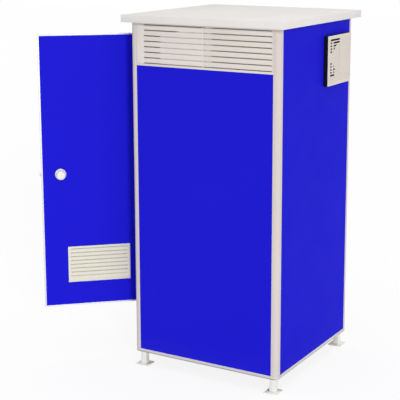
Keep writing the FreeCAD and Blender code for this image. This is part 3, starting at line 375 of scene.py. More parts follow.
def rail_finish():
    """The rail's enamel, with painted shade along its lower lip, most of it on the louvre side."""
    material = coated("rail_enamel", (0.655, 0.61, 0.585), (0.45, 0.55), specular=0.2)
    tree = material.node_tree
    low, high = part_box("base_frame")
    place = add_node(tree, "ShaderNodeSeparateXYZ", {0: object_place(tree)}).outputs
    side = ranged(tree, place["X"], high.x - 4 * MM, high.x - 1 * MM, RAIL_SHADE_ELSEWHERE, 1)
    band = ranged(tree, place["Z"], low.z + RAIL_SHADE_HEIGHT * 0.8, low.z + RAIL_SHADE_HEIGHT, side, 0,
                  interpolation_type="SMOOTHSTEP")
    # The grey band laid over the rail's lower lip is painted shade, not dirt
    lay_over(tree, band, RAIL_PAINTED_SHADE)
    return material


FINISHES = {
    "frame_enamel": coated("cream_enamel", (0.655, 0.59, 0.553), (0.45, 0.55), specular=0.2, dust=0.06),
    "roof_enamel": coated("roof_enamel", (0.76, 0.735, 0.715), (0.5, 0.6), specular=0.2),
    "ceiling_white": coated("ceiling_white", (0.78, 0.78, 0.76), (0.6, 0.7), specular=0.2),
    "edge_trim": brushed("extruded_edge_strip", (0.80, 0.80, 0.82), (900, 900, 6), (0.35, 0.5),
                         metallic=0.25),
    "vent_plastic": coated("moulded_cream", (0.75, 0.725, 0.60), (0.4, 0.5), grain=700),
    "fan_black": coated("black_powder_coat", (0.004, 0.004, 0.0042), (0.5, 0.65), specular=0.15, grain=900,
                        grain_height=0.0001),
    "fan_grey": coated("dark_grey_nylon", (0.05, 0.05, 0.055), (0.4, 0.55), grain=600),
    "lock_white": coated("lock_enamel", (0.83, 0.80, 0.745), (0.38, 0.48), specular=0.25),
    "steel": brushed("brushed_steel", (0.58, 0.58, 0.59), (60, 60, 900), (0.25, 0.4)),
    "floor_sheet": coated("floor_sheet", (0.16, 0.17, 0.18), (0.55, 0.75), grain=180, grain_height=0.0006,
                          bump=0.6, depth=0.15),
    "bearer_steel": coated("primer_grey", (0.20, 0.21, 0.22), (0.55, 0.7)),
    "pan_ceramic": coated("white_glaze", (0.84, 0.84, 0.82), (0.06, 0.14), specular=0.5, grain=30,
                          grain_height=0.0002, coat=0.3),
    "white_plastic": coated("white_moulding", (0.82, 0.82, 0.80), (0.28, 0.38), specular=0.4, grain=800),
    "grey_pvc": coated("grey_pipe", (0.32, 0.33, 0.34), (0.35, 0.5), specular=0.35, grain=300),
    "chrome_button": brushed("bright_chrome", (0.82, 0.82, 0.83), (200, 200, 20), (0.05, 0.12)),
    "lamp_opal": lamp_glass(),
    "paper_white": tissue(),
}
LOUVRE_FINISH = coated("louvre_enamel", (0.735, 0.68, 0.635), (0.45, 0.55), specular=0.2)
# The feet's enamel is partly their own paler paint and partly painted light: it is made lighter to make up
# for the shade under the cabin
LIT_FOOT_FINISH = coated("foot_enamel", (0.92, 0.91, 0.86), (0.45, 0.6), specular=0.2, dust=0.05)
COVER_FINISH = coated("fan_cover_cream", (0.70, 0.636, 0.58), (0.4, 0.5), grain=700)
RAIL_FINISH = rail_finish()
SCREW_FINISH = brushed("zinc_screw", (0.60, 0.60, 0.61), (300, 300, 300), (0.3, 0.45))
WELD_FINISH = coated("weld_enamel", (0.66, 0.62, 0.57), (0.45, 0.6), grain=240, grain_height=0.0004,
                     bump=0.6)
SCREEN_FINISH = coated("fly_screen_wire", (0.46, 0.41, 0.10), (0.5, 0.7), specular=0.2)
RUBBER_FINISH = coated("black_rubber", (0.02, 0.02, 0.02), (0.6, 0.8), specular=0.25, grain=500)


# The door's own axes: X along the leaf from the hinge, Y outwards, Z up

HINGE = JOINTS["door_hinge"]
DOOR = (Matrix.Translation((HINGE["pos_m"][0], HINGE["pos_m"][1], 0))
        @ Matrix.Rotation(pi - radians(HINGE["range_deg"][0]), 4, "Z"))
DOOR_OUT = (DOOR.to_3x3() @ Vector((0, 1, 0))).normalized()


def leaf_box(node):
    """The lowest and highest corner of a door piece in the door's own axes."""
    back = DOOR.inverted()
    points = [back @ vertex.co for vertex in NODES[node].data.vertices]
    low = Vector(min(point[axis] for point in points) for axis in range(3))
    high = Vector(max(point[axis] for point in points) for axis in range(3))
    return low, high


# What each piece of the frame is finished with

PANEL_WAYS = {"wall_panel_right": (1, 0, 0), "wall_panel_left": (-1, 0, 0), "wall_panel_back": (0, 1, 0),
              "front_side_panel": (0, -1, 0), "front_lower_panel": (0, -1, 0), "door_leaf": tuple(DOOR_OUT)}
# How far out from a panel's inner face it is off-white
SHEET = 1 * MM


def panel_finish(node, outward):
    """A panel's own coated sheet, off-white on its inner face."""
    way = Vector(outward)
    inner_face = min(way.dot(vertex.co) for vertex in NODES[node].data.vertices)
    return sandwich("sheet_of_" + node, outward, inner_face + SHEET)


PANELS = {node: panel_finish(node, outward) for node, outward in PANEL_WAYS.items()}


def finish_of(node):
    if node == "latch_bolt":
        return FINISHES["chrome_button"]
    if node == "base_frame":
        return RAIL_FINISH
    if node.startswith("foot_"):
        return LIT_FOOT_FINISH
    if node.startswith("vent_"):
        return LOUVRE_FINISH
    if node in PANELS:
        return PANELS[node]
    return FINISHES[SLOTS[node]]


def dress_frame():
    """Every piece of the frame takes its finish."""
    for name, item in NODES.items():
        item.data.materials.clear()
        item.data.materials.append(finish_of(name))


# Ways to make a piece

# Edges of a copied solid are left out below the first angle and rounded above the second. A formed
# piece is shaded smooth up to the third.
FLAT_ANGLE = radians(1)
SHARP_ANGLE = radians(30)
SMOOTH_ANGLE = radians(40)
# Points nearer to each other than this are one
SAME_POINT = 0.01 * MM


def new_piece(name, form, finish, turn=None):
    """A piece at the origin from a bmesh, turned into place when it was made in other axes."""
    mesh = bpy.data.meshes.new(name)
    form.to_mesh(mesh)
    form.free()
    if turn is not None:
        mesh.transform(turn)
    for face in mesh.polygons:
        face.use_smooth = True
    mesh.set_sharp_from_angle(angle=SMOOTH_ANGLE)
    mesh.materials.append(finish)
    return add_object(name, mesh)


def fit(piece, body, slot, *replaced):
    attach(piece, body)
    if replaced:
        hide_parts(*replaced)


def make(name, form, body, slot, *replaced, finish=None, turn=None):
    """A piece from a bmesh, fitted. It has its slot's own finish unless it is given another."""
    fit(new_piece(name, form, finish or FINISHES[slot], turn), body, slot, *replaced)


def eased(node, radius, steps=2):
    """A copy of a frame piece with its sharp edges rounded over, as the folded or moulded one has them."""
    source = NODES[node]
    form = bmesh.new()
    form.from_mesh(source.data)
    bmesh.ops.remove_doubles(form, verts=form.verts, dist=SAME_POINT)
    bmesh.ops.dissolve_limit(form, angle_limit=FLAT_ANGLE, verts=form.verts, edges=form.edges)
    sharp = [edge for edge in form.edges
             if len(edge.link_faces) == 2 and edge.calc_face_angle() > SHARP_ANGLE]
    bmesh.ops.bevel(form, geom=sharp, offset=radius, offset_type="OFFSET", segments=steps, profile=0.5,
                    affect="EDGES", clamp_overlap=True)
    make(node + "_eased", form, source["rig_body"], SLOTS[node], node, finish=finish_of(node))


def rounded_bar(low, high, radius, steps=3):
    """A bmesh box between two corners with every edge rounded."""
    form = bmesh.new()
    bmesh.ops.create_cube(form, size=1)
    bmesh.ops.scale(form, vec=Vector(high) - Vector(low), verts=form.verts)
    bmesh.ops.translate(form, vec=(Vector(high) + Vector(low)) / 2, verts=form.verts)
    bmesh.ops.bevel(form, geom=form.edges[:], offset=radius, segments=steps, profile=0.5, affect="EDGES",
                    clamp_overlap=True)
    return form


def quarter_round(radius, height, inwards, upwards, steps):
    """Points of a quarter of an ellipse that starts upright at a radius and a height, without that start."""
    points = []
    for step in range(1, steps + 1):
        angle = pi / 2 * step / steps
        points.append((radius - inwards * (1 - cos(angle)), height + upwards * sin(angle)))
    return points


def turned(profile, steps=64):
    """A bmesh of revolution about Z from (radius, height) points. A radius of 0 closes to a pole."""
    form = bmesh.new()
    rings = []
    for radius, height in profile:
        if radius == 0:
            rings.append([form.verts.new((0, 0, height))])
            continue
        angles = [2 * pi * index / steps for index in range(steps)]
        rings.append([form.verts.new((radius * cos(angle), radius * sin(angle), height))
                      for angle in angles])
    for lower, upper in zip(rings, rings[1:]):
        for index in range(steps):
            following = (index + 1) % steps
            if len(lower) == 1:
                form.faces.new((lower[0], upper[following], upper[index]))
            elif len(upper) == 1:
                form.faces.new((lower[index], lower[following], upper[0]))
            else:
                form.faces.new((lower[index], lower[following], upper[following], upper[index]))
    if len(rings[0]) > 1 and profile[0] == profile[-1]:
        bmesh.ops.remove_doubles(form, verts=form.verts, dist=0.1 * SAME_POINT)
    bmesh.ops.recalc_face_normals(form, faces=form.faces)
    return form


def lofted(rings, closed=False):
    """A bmesh skin through rings of equal count. A closed one joins its last ring to its first."""
    form = bmesh.new()
    laid = [[form.verts.new(point) for point in ring] for ring in rings]
    pairs = list(zip(laid, laid[1:]))
    if closed:
        pairs.append((laid[-1], laid[0]))
    count = len(laid[0])
    for lower, upper in pairs:
        for index in range(count):
            following = (index + 1) % count
            form.faces.new((lower[index], lower[following], upper[following], upper[index]))
    bmesh.ops.recalc_face_normals(form, faces=form.faces)
    return form


def capped(rings):
    """A bmesh skin through rings, its two ends closed by a face each."""
    form = lofted(rings)
    form.verts.ensure_lookup_table()
    count = len(rings[0])
    form.faces.new(form.verts[:count])
    form.faces.new(form.verts[-count:])
    bmesh.ops.recalc_face_normals(form, faces=form.faces)
    return form


def rounded_ring(centre, half_x, half_y, radius, height, corner_steps=8):
    """A level ring of points round a rectangle with rounded corners."""
    points = []
    radius = min(radius, half_x, half_y)
    for quarter, (way_x, way_y) in enumerate(((1, 1), (-1, 1), (-1, -1), (1, -1))):
        for step in range(corner_steps + 1):
            angle = (quarter + step / corner_steps) * pi / 2
            points.append((centre[0] + way_x * (half_x - radius) + radius * cos(angle),
                           centre[1] + way_y * (half_y - radius) + radius * sin(angle), height))
    return points


# A box in X and Z is given as (low x, low z, high x, high z)

def drawn_in(box, inset):
    """A box in X and Z that is smaller by an inset on every side."""
    return tuple(value + side * inset for value, side in zip(box, (1, 1, -1, -1)))


def placed(box, centre):
    """A box in X and Z, from one that is given in millimetres from a centre."""
    return tuple(middle + reach * MM for middle, reach in zip(centre * 2, box))


def picture_frame(outer, inner, back, front, radius):
    """A bmesh frame between two boxes in X and Z, rounded on its face in two steps."""
    rings = []
    soft = radius * 0.3
    for box, inset, depth in ((outer, 0, back), (outer, 0, front - radius), (outer, soft, front - soft),
                              (outer, radius, front), (inner, -radius, front), (inner, -soft, front - soft),
                              (inner, 0, front - radius), (inner, 0, back)):
        low_x, low_z, high_x, high_z = drawn_in(box, inset)
        corners = ((low_x, low_z), (high_x, low_z), (high_x, high_z), (low_x, high_z))
        rings.append([(x, depth, z) for x, z in corners])
    return lofted(rings, closed=True)


def add_form(target, extra):
    """Puts a second bmesh into the first, so that both are one piece."""
    mesh = bpy.data.meshes.new("extra")
    extra.to_mesh(mesh)
    extra.free()
    target.from_mesh(mesh)
    bpy.data.meshes.remove(mesh)


# Geometry Nodes for what repeats

def make_copier():
    """Copies of a fitting, such as a screw or a blade, at each point of the base."""
    tree, given, result = new_group(
        "copies_at_points", [("Points", "Geometry"), ("Fitting", "Object"), ("Finish", "Material")],
        [("Geometry", "Geometry")], "GeometryNodeTree")
    fitting = add_node(tree, "GeometryNodeObjectInfo", {"Object": given["Fitting"]}).outputs["Geometry"]
    copies = add_node(tree, "GeometryNodeInstanceOnPoints", {"Points": given["Points"], "Instance": fitting})
    real = add_node(tree, "GeometryNodeRealizeInstances", {"Geometry": copies.outputs["Instances"]})
    painted = add_node(tree, "GeometryNodeSetMaterial",
                       {"Geometry": real.outputs["Geometry"], "Material": given["Finish"]})
    tree.links.new(painted.outputs["Geometry"], result["Geometry"])
    return tree


COPIER = make_copier()


def copied(name, form, points, finish, turn=None):
    """Copies of a form at points, kept as one piece with a plain mesh."""
    fitting = new_piece(name + "_one", form, finish, turn)
    base = bpy.data.meshes.new(name)
    base.from_pydata(points, [], [])
    piece = add_object(name, base)
    modifier = piece.modifiers.new(COPIER.name, "NODES")
    modifier.node_group = COPIER
    values = {"Fitting": fitting, "Finish": finish}
    for socket in COPIER.interface.items_tree:
        if socket.name in values:
            modifier[socket.identifier] = values[socket.name]
    bpy.context.view_layer.update()
    graph = bpy.context.evaluated_depsgraph_get()
    mesh = bpy.data.meshes.new_from_object(piece.evaluated_get(graph))
    piece.modifiers.clear()
    piece.data = mesh
    mesh.name = piece.name
    bpy.data.objects.remove(fitting)
    return piece


def stacked(name, form, count, step, finish):
    """Copies of a form along a straight line, a step apart."""
    return copied(name, form, [Vector(step) * index for index in range(count)], finish)


SCREW_RADIUS = 3.6 * MM
SCREW_RISE = 1.3 * MM


def screw_form():
    """A low domed head with a round socket, facing +Z, its seat at height 0."""
    dome = quarter_round(SCREW_RADIUS, 0, SCREW_RADIUS, SCREW_RISE, 5)[:-1]
    socket = [(SCREW_RADIUS * 0.25, SCREW_RISE), (SCREW_RADIUS * 0.2, SCREW_RISE * 0.45),
              (0, SCREW_RISE * 0.4)]
    return turned([(0, 0), (SCREW_RADIUS, 0)] + dome + socket, steps=16)


def set_screws(name, points, facing, body):
    """Screw heads at points, all facing one way, as one piece."""
    turn = facing.to_track_quat("Z", "Y").to_matrix().to_4x4()
    fit(copied(name, screw_form(), points, SCREW_FINISH, turn), body, "steel")


# Pieces

BLADE_COUNT = 7
BLADE_SLOT = 6.6 * MM
BLADE_ROUND = 2.2 * MM
BLADE_INSET = 0.3 * MM
LOUVRE_BAR = 9 * MM
LOUVRE_ENDS = (56 * MM, 12 * MM)
STRIP_ROUND = 1.5 * MM
WIRE_PITCH = 1.25 * MM
WIRE = 0.35 * MM


def press_louvre():
    """Rounded level blades in two runs, with a strip between them and at each end."""
    low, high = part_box("vent_blades")
    pitch = (high.z - low.z - BLADE_SLOT) / BLADE_COUNT
    blades = bmesh.new()
    for start, end in ((low.y + BLADE_INSET, 0), (0, high.y - BLADE_INSET)):
        add_form(blades, rounded_bar((low.x + BLADE_INSET, start, low.z + BLADE_SLOT),
                                     (high.x - BLADE_INSET, end, low.z + pitch), BLADE_ROUND))
    louvre = stacked("louvre_blades", blades, BLADE_COUNT, (0, 0, pitch), LOUVRE_FINISH)
    fit(louvre, "cabin", "frame_enamel", "vent_blades")
    strips = bmesh.new()
    for start, end in ((low.y, low.y + LOUVRE_ENDS[0]), (-LOUVRE_BAR / 2, LOUVRE_BAR / 2),
                       (high.y - LOUVRE_ENDS[1], high.y)):
        add_form(strips, rounded_bar((low.x, start, low.z), (high.x, end, high.z), STRIP_ROUND))
    make("louvre_strips", strips, "cabin", "frame_enamel", finish=LOUVRE_FINISH)
    # The fly screen: upright wires against the strips, level wires behind them
    wide, tall = high.y - low.y, high.z - low.z
    for name, face, across, up, span, step in (
            ("fly_screen_uprights", low.x + WIRE * 0.1, WIRE, tall, wide, (0, WIRE_PITCH, 0)),
            ("fly_screen_levels", low.x - WIRE * 0.7, wide, WIRE, tall, (0, 0, WIRE_PITCH))):
        wire = rounded_bar((face - WIRE, low.y, low.z), (face, low.y + across, low.z + up), WIRE * 0.3, 1)
        wires = stacked(name, wire, int((span - WIRE) / WIRE_PITCH) + 1, step, SCREEN_FINISH)
        fit(wires, "cabin", "steel")


SLAT_ROWS = 15
SLAT_GAP = 12 * MM
SLAT_DEPTH = 1.6 * MM
SLAT_ROUND = 0.7 * MM
SLAT_SET_BACK = 0.3 * MM
SLAT_MARGIN = 19.5 * MM
COVER_BORDER = 10 * MM
COVER_ROUND = 1.4 * MM
# The plate behind the slats: how far inside the cover it ends, its thickness and how far it stands back
PLATE_INSET = 3 * MM
PLATE_THICK = 1 * MM
PLATE_BACK = 0.6 * MM
# The mouth in the plate behind the slats, in millimetres from the middle of the cover
MOUTH = (-4, -113, 143, 150)
# The half disc of the guard: its radius, the bore in it, and its own middle from the middle of the cover
HUB_RADIUS = 101 * MM
HUB_BORE = 0.5 * MM
HUB_PLACE = (-3 * MM, 12 * MM)
# The guard's upright bar, foot and broad arm, in millimetres from the middle of the cover, each with how
# much deeper it lies than the half disc
GUARD_BARS = (((92, -93, 118, 128), 0.1 * MM), ((-6, -118, 76, -70), 0.15 * MM),
              ((93, -12, 145, 47), 0.2 * MM))
GUARD_BACK = 1.6 * MM
GUARD_FRONT = 0.4 * MM
GUARD_ROUND = 0.4 * MM


def half_ring(centre, inner, outer, back, front, steps=48):
    """A flat half ring in X and Z on the side of +X, with its ends closed."""
    sections = []
    for index in range(steps + 1):
        angle = pi * (index / steps - 0.5)
        sections.append([(centre[0] + radius * cos(angle), depth, centre[1] + radius * sin(angle))
                         for radius, depth in ((inner, back), (outer, back), (outer, front), (inner, front))])
    return capped(sections)


def fan_guard(centre, face):
    """The guard in the mouth: a half disc, an upright bar, a foot and one broad arm."""
    back, front = face - GUARD_BACK, face - GUARD_FRONT
    hub_centre = (centre[0] + HUB_PLACE[0], centre[1] + HUB_PLACE[1])
    guard = half_ring(hub_centre, HUB_BORE, HUB_RADIUS, back, front)
    for box, deeper in GUARD_BARS:
        low_x, low_z, high_x, high_z = placed(box, centre)
        add_form(guard, rounded_bar((low_x, back - deeper, low_z), (high_x, front - deeper / 2, high_z),
                                    GUARD_ROUND))
    return guard


def slat_fan_cover():
    """The slatted cover of the fan box: rounded border, thin slats, and the guarded mouth behind them."""
    low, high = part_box("fan_cover")
    pitch = (high.z - low.z - 2 * SLAT_MARGIN) / SLAT_ROWS
    half_slat = (pitch - SLAT_GAP) / 2
    first = low.z + SLAT_MARGIN
    face = high.y - SLAT_SET_BACK
    inset = COVER_BORDER / 2
    slat = rounded_bar((low.x + inset, face - SLAT_DEPTH, first - half_slat),
                       (high.x - inset, face, first + half_slat), SLAT_ROUND)
    slats = stacked("fan_cover_slats", slat, SLAT_ROWS + 1, (0, 0, pitch), COVER_FINISH)
    fit(slats, "cabin", "vent_plastic", "fan_cover")
    outer = (low.x, low.z, high.x, high.z)
    inner = (low.x + COVER_BORDER, low.z + SLAT_MARGIN, high.x - COVER_BORDER, high.z - SLAT_MARGIN)
    border = picture_frame(outer, inner, low.y, high.y, COVER_ROUND)
    make("fan_cover_border", border, "cabin", "vent_plastic", finish=COVER_FINISH)
    corners = [(x, high.y - SCREW_RISE, z) for x in (low.x + inset, high.x - inset)
               for z in (low.z + inset, high.z - inset)]
    set_screws("fan_cover_screws", corners, Vector((0, 1, 0)), "cabin")
    centre = ((low.x + high.x) / 2, (low.z + high.z) / 2)
    back = low.y - PLATE_BACK
    plate = picture_frame(drawn_in(outer, PLATE_INSET), placed(MOUTH, centre), back, back + PLATE_THICK,
                          0.3 * MM)
    make("fan_cover_plate", plate, "cabin", "vent_plastic", finish=COVER_FINISH)
    make("fan_guard", fan_guard(centre, low.y), "cabin", "vent_plastic", finish=COVER_FINISH)


VENT_SLOTS = 8
VENT_PITCH = 27.5 * MM
VENT_SLOT = 7 * MM
VENT_SIDE = 18 * MM
VENT_TOP = 14.5 * MM
VENT_ROUND = 1.8 * MM
# How far behind the plate's back each blade leans, and its thickness
VENT_LEAN = 12 * MM
VENT_SKIN = 1.2 * MM
# How far the lip at the foot of the blades reaches past them, and its thickness
VENT_LIP = 0.8 * MM
# How high over the foot of the vent the cut-out of the leaf begins
VENT_CUT = 44 * MM


def louvre_blade(low_x, high_x, back, front):
    """A blade with an upright face. Its top leans back and up behind the slot above it."""
    inner = front - 2 * VENT_SKIN
    top = VENT_PITCH + VENT_SLOT + 2 * MM
    section = [(front, VENT_SLOT), (front, VENT_PITCH - 1 * MM), (front - 1 * MM, VENT_PITCH), (back, top),
               (back - VENT_SKIN, top), (inner, VENT_PITCH - 1 * MM), (inner, VENT_SLOT + 0.5 * MM),
               (inner + 0.5 * MM, VENT_SLOT)]
    return capped([[(x, y, z) for y, z in section] for x in (low_x, high_x)])


def mould_door_vent(node, way):
    """A moulded vent plate with louvre blades on one face of the leaf, and a lip over the leaf's cut edge."""
    low, high = leaf_box(node)
    finish = FINISHES["vent_plastic"]
    top = high.z - VENT_TOP
    lowest = top - (VENT_SLOTS - 1) * VENT_PITCH - VENT_SLOT
    back, front = (low.y, high.y) if way > 0 else (-high.y, -low.y)
    inner = (low.x + VENT_SIDE, lowest, high.x - VENT_SIDE, top)
    plate = picture_frame((low.x, low.z, high.x, high.z), inner, back, front, VENT_ROUND)
    lip_top = low.z + VENT_CUT + VENT_LIP / 2
    add_form(plate, rounded_bar((inner[0] - VENT_LIP, back, lowest - VENT_LIP),
                                (inner[2] + VENT_LIP, back + VENT_LIP, lip_top), 0.3 * MM))
    blade = louvre_blade(inner[0] + 0.1 * MM, inner[2] - 0.1 * MM, back - VENT_LEAN, front - 0.5 * MM)
    blade.transform(Matrix.Translation((0, 0, lowest - VENT_PITCH)))
    blades = stacked(node + "_blades", blade, VENT_SLOTS, (0, 0, VENT_PITCH), finish)
    border = new_piece(node + "_border", plate, finish)
    for piece in (border, blades):
        piece.data.transform(DOOR @ Matrix.Diagonal((1, way, 1, 1)))
        if way < 0:
            piece.data.flip_normals()
        fit(piece, "door", "vent_plastic")
    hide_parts(node)


# The knob's neck as a share of its radius, its head as a share of its length, and the part of the head
# that lies outside its widest ring
KNOB_NECK = 0.46
KNOB_HEAD = 0.80
KNOB_DOME = 0.62
# The outline of the head: its steps, how many degrees under the widest ring it starts, and how blunt it is
KNOB_ROUND = 20
KNOB_START = 62
KNOB_BLUNT = 0.42
KNOB_ROOT = 6 * MM


def on_spindle(middle, base, way):
    """The place of a turned form on the lock's spindle, facing out of or into the cabin."""
    return Matrix.Translation((middle.x, base, middle.z)) @ Matrix.Rotation(-way * pi / 2, 4, "X")


def turn_knob(node, way):
    """A round lock knob on a straight neck, turned about the spindle."""
    low, high = leaf_box(node)
    rose_low, rose_high = leaf_box("lock_roses")
    base, tip = (rose_high.y, high.y) if way > 0 else (rose_low.y, low.y)
    radius, length = (high.x - low.x) / 2, abs(tip - base)
    neck, head = radius * KNOB_NECK, length * KNOB_HEAD
    dome = head * KNOB_DOME
    under = (head - dome) / sin(radians(KNOB_START))
    profile = [(0, -KNOB_ROOT), (neck, -KNOB_ROOT), (neck, length - head)]
    for step in range(KNOB_ROUND):
        angle = radians((90 + KNOB_START) * step / KNOB_ROUND - KNOB_START)
        across = radius * cos(angle) ** KNOB_BLUNT
        profile.append((across, length - dome + (dome if angle > 0 else under) * sin(angle)))
    profile.append((0, length))
    place = DOOR @ on_spindle((low + high) / 2, base, way)
    make(node + "_turned", turned(profile), node, "lock_white", node, turn=place)


ROSE_BORE = 14.6 * MM
# How much of the rose's depth its rim rounds over
ROSE_ROUND = 0.65


def turn_roses():
    """The two round plates behind the knobs, with a rolled rim."""
    low, high = leaf_box("lock_roses")
    face_low, face_high = leaf_box("door_leaf")
    radius = (high.x - low.x) / 2
    roses = bmesh.new()
    for base, tip, way in ((face_high.y, high.y, 1), (face_low.y, low.y, -1)):
        depth = abs(tip - base)
        rim = depth * ROSE_ROUND
        profile = [(ROSE_BORE, 0), (radius, 0), (radius, depth - rim)]
        profile += quarter_round(radius, depth - rim, rim, rim, 6)
        profile += [(radius * 0.62, depth * 0.92), (radius * 0.5, depth), (ROSE_BORE, depth), (ROSE_BORE, 0)]
        rose = turned(profile)
        rose.transform(on_spindle((low + high) / 2, base, way))
        add_form(roses, rose)
    make("lock_roses_turned", roses, "door", "lock_white", "lock_roses", turn=DOOR)


SCREW_INSET = 9 * MM
HINGE_SHEET = 2.5 * MM
# How far from the middle of a hinge its screws are, as a share of its height
SCREW_SPREAD = 0.34
# Hinges are at least this far apart
HINGE_SPACE = 200 * MM


def screw_places(node, across, face):
    """Two places on each hinge in a node that holds all three."""
    heights = sorted(vertex.co.z for vertex in NODES[node].data.vertices)
    ends = [heights[0]]
    for lower, upper in zip(heights, heights[1:]):
        if upper - lower > HINGE_SPACE:
            ends += [lower, upper]
    ends.append(heights[-1])
    places = []
    for low_z, high_z in zip(ends[::2], ends[1::2]):
        middle, reach = (low_z + high_z) / 2, (high_z - low_z) * SCREW_SPREAD
        places += [Vector((across, face, middle + side * reach)) for side in (-1, 1)]
    return places


def set_hinge_screws():
    """Two screws in each leaf of each hinge."""
    low, high = leaf_box("hinge_leaves_door")
    places = screw_places("hinge_leaves_door", high.x - SCREW_INSET, low.y + HINGE_SHEET)
    set_screws("door_hinge_screws", [DOOR @ place for place in places], DOOR_OUT, "door")
    low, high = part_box("hinge_leaves_jamb")
    face = NODES["door_jamb"].bound_box[0][1] - HINGE_SHEET
    places = screw_places("hinge_leaves_jamb", high.x - SCREW_INSET, face)
    set_screws("jamb_hinge_screws", places, Vector((0, -1, 0)), "cabin")


LEG_HALF = 20 * MM
FOOT_PLATE = 6 * MM
BEAD = 2.2 * MM
BEAD_STEPS = 14
# How much thicker and thinner the bead gets, and how far its wave goes on in each step
BEAD_WAVE = (0.12, 2.4)


def bead_ring(corners, radius, steps=10):
    """A weld bead along a closed line of straight runs, with a slightly wavy back."""
    up = Vector((0, 0, 1))
    rings = []
    for index, corner in enumerate(corners):
        before, here = Vector(corners[index - 1]), Vector(corner)
        after = Vector(corners[(index + 1) % len(corners)])
        along = ((here - before).normalized() + (after - here).normalized()).normalized()
        side = along.cross(up).normalized()
        size = radius * (1 + BEAD_WAVE[0] * sin(index * BEAD_WAVE[1]))
        angles = [2 * pi * step / steps for step in range(steps)]
        rings.append([here + side * size * cos(angle) + up * size * sin(angle) for angle in angles])
    return lofted(rings, closed=True)


def weld_feet():
    """Weld beads where each leg meets its plate and the frame above."""
    beads = bmesh.new()
    for corner in ("front_left", "front_right", "back_left", "back_right"):
        low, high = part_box("foot_" + corner)
        middle = (low + high) / 2
        for level in (low.z + FOOT_PLATE, high.z - BEAD):
            line = []
            for (from_x, from_y), (to_x, to_y) in zip(SQUARE, SQUARE[1:] + SQUARE[:1]):
                for step in range(BEAD_STEPS):
                    part = step / BEAD_STEPS
                    line.append((middle.x + LEG_HALF * (from_x + (to_x - from_x) * part),
                                 middle.y + LEG_HALF * (from_y + (to_y - from_y) * part), level))
            add_form(beads, bead_ring(line, BEAD))
    make("foot_weld_beads", beads, "cabin", "frame_enamel", finish=WELD_FINISH)


PAN_LONG = 540 * MM
PAN_CORNER = 60 * MM
PAN_WALL = 12 * MM
BOWL = (125 * MM, 200 * MM)
BOWL_FLOOR = 14 * MM
DRAIN_RADIUS = 51 * MM
# The boss: half its width, how far it runs into the pan, and how far it goes down under the floor
BOSS_HALF = 25 * MM
BOSS_LAP = 30 * MM
BOSS_DROP = 74 * MM
TREAD_RIBS = 9
TREAD_PITCH = 20 * MM
# Half the width and half the breadth of a rib of the tread
TREAD_HALF = (24 * MM, 4 * MM)


def glaze_pan():
    """The squat pan: a rolled rim, a bowl that falls to the drain, and a ribbed tread each side."""
    low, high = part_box("squat_pan")
    drain_low, drain_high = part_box("drain_pipe")
    drain_y, drain_top = (drain_low.y + drain_high.y) / 2, drain_high.z
    floor_top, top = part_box("floor_panel")[1].z, high.z
    bowl_floor = drain_top + BOWL_FLOOR
    pan_back = low.y + PAN_LONG
    centre = ((low.x + high.x) / 2, (low.y + pan_back) / 2)
    rim = ((high.x - low.x) / 2, (pan_back - low.y) / 2)

    def ring(half_x, half_y, radius, height, part=0.0):
        """A ring of the pan, moved a part of the way towards the drain."""
        at = (centre[0], centre[1] + (drain_y - centre[1]) * part)
        return rounded_ring(at, half_x, half_y, radius, height)

    def grown(half, more, height):
        """A ring that lies outside the half sizes by so many millimetres on every side."""
        return ring(half[0] + more * MM, half[1] + more * MM, PAN_CORNER + more * MM, height)

    def shared(share_x, share_y, height, part=0.0):
        """A ring that has a share of the bowl's width and length."""
        return ring(BOWL[0] * share_x, BOWL[1] * share_y, PAN_CORNER, height, part)

    around_drain = DRAIN_RADIUS + 3 * MM
    outside = [
        ring(around_drain, around_drain, around_drain, drain_top, 1),
        ring(BOWL[0] * 0.75 + PAN_WALL, BOWL[1] * 0.80 + PAN_WALL, PAN_CORNER, drain_top + 4 * MM, 0.1),
        ring(BOWL[0] * 0.94 + PAN_WALL, BOWL[1] * 0.95 + PAN_WALL, PAN_CORNER + PAN_WALL,
             drain_top + 30 * MM),
        grown(BOWL, PAN_WALL / MM, floor_top - 2 * MM),
        grown(rim, -6, floor_top),
        grown(rim, -1, floor_top + 3 * MM),
        grown(rim, 0, floor_top + 7 * MM),
        grown(rim, -1.5, top - 2 * MM),
        grown(rim, -5, top),
    ]
    inside = [
        grown(BOWL, 9, top),
        grown(BOWL, 4, top - 1.5 * MM),
        grown(BOWL, 1, top - 6 * MM),
        grown(BOWL, 0, top - 16 * MM),
        shared(0.97, 0.975, floor_top - 60 * MM),
        shared(0.92, 0.94, floor_top - 110 * MM),
        shared(0.80, 0.85, bowl_floor + 8 * MM, 0.05),
        shared(0.62, 0.66, bowl_floor + 1 * MM, 0.3),
        ring(DRAIN_RADIUS + 8 * MM, DRAIN_RADIUS + 12 * MM, DRAIN_RADIUS, bowl_floor, 0.85),
        ring(DRAIN_RADIUS, DRAIN_RADIUS, DRAIN_RADIUS, bowl_floor - 4 * MM, 1),
        ring(DRAIN_RADIUS, DRAIN_RADIUS, DRAIN_RADIUS, drain_top, 1),
    ]
    pan = lofted(outside + inside, closed=True)
    # The boss at the back, which takes the flush pipe
    add_form(pan, rounded_bar((-BOSS_HALF, pan_back - BOSS_LAP, floor_top - BOSS_DROP),
                              (BOSS_HALF, high.y, top), 5 * MM, 4))
    make("squat_pan_glazed", pan, "cabin", "pan_ceramic", "squat_pan")
    treads = bmesh.new()
    start_y = centre[1] - (TREAD_RIBS - 1) / 2 * TREAD_PITCH
    for side in (-1, 1):
        middle_x = centre[0] + side * (rim[0] + BOWL[0] + 6 * MM) / 2
        add_form(treads, rounded_bar((middle_x - TREAD_HALF[0], start_y - TREAD_HALF[1], top - 1 * MM),
                                     (middle_x + TREAD_HALF[0], start_y + TREAD_HALF[1], top + 3 * MM),
                                     1.9 * MM))
    ribs = stacked("pan_treads", treads, TREAD_RIBS, (0, TREAD_PITCH, 0), FINISHES["pan_ceramic"])
    fit(ribs, "cabin", "pan_ceramic")


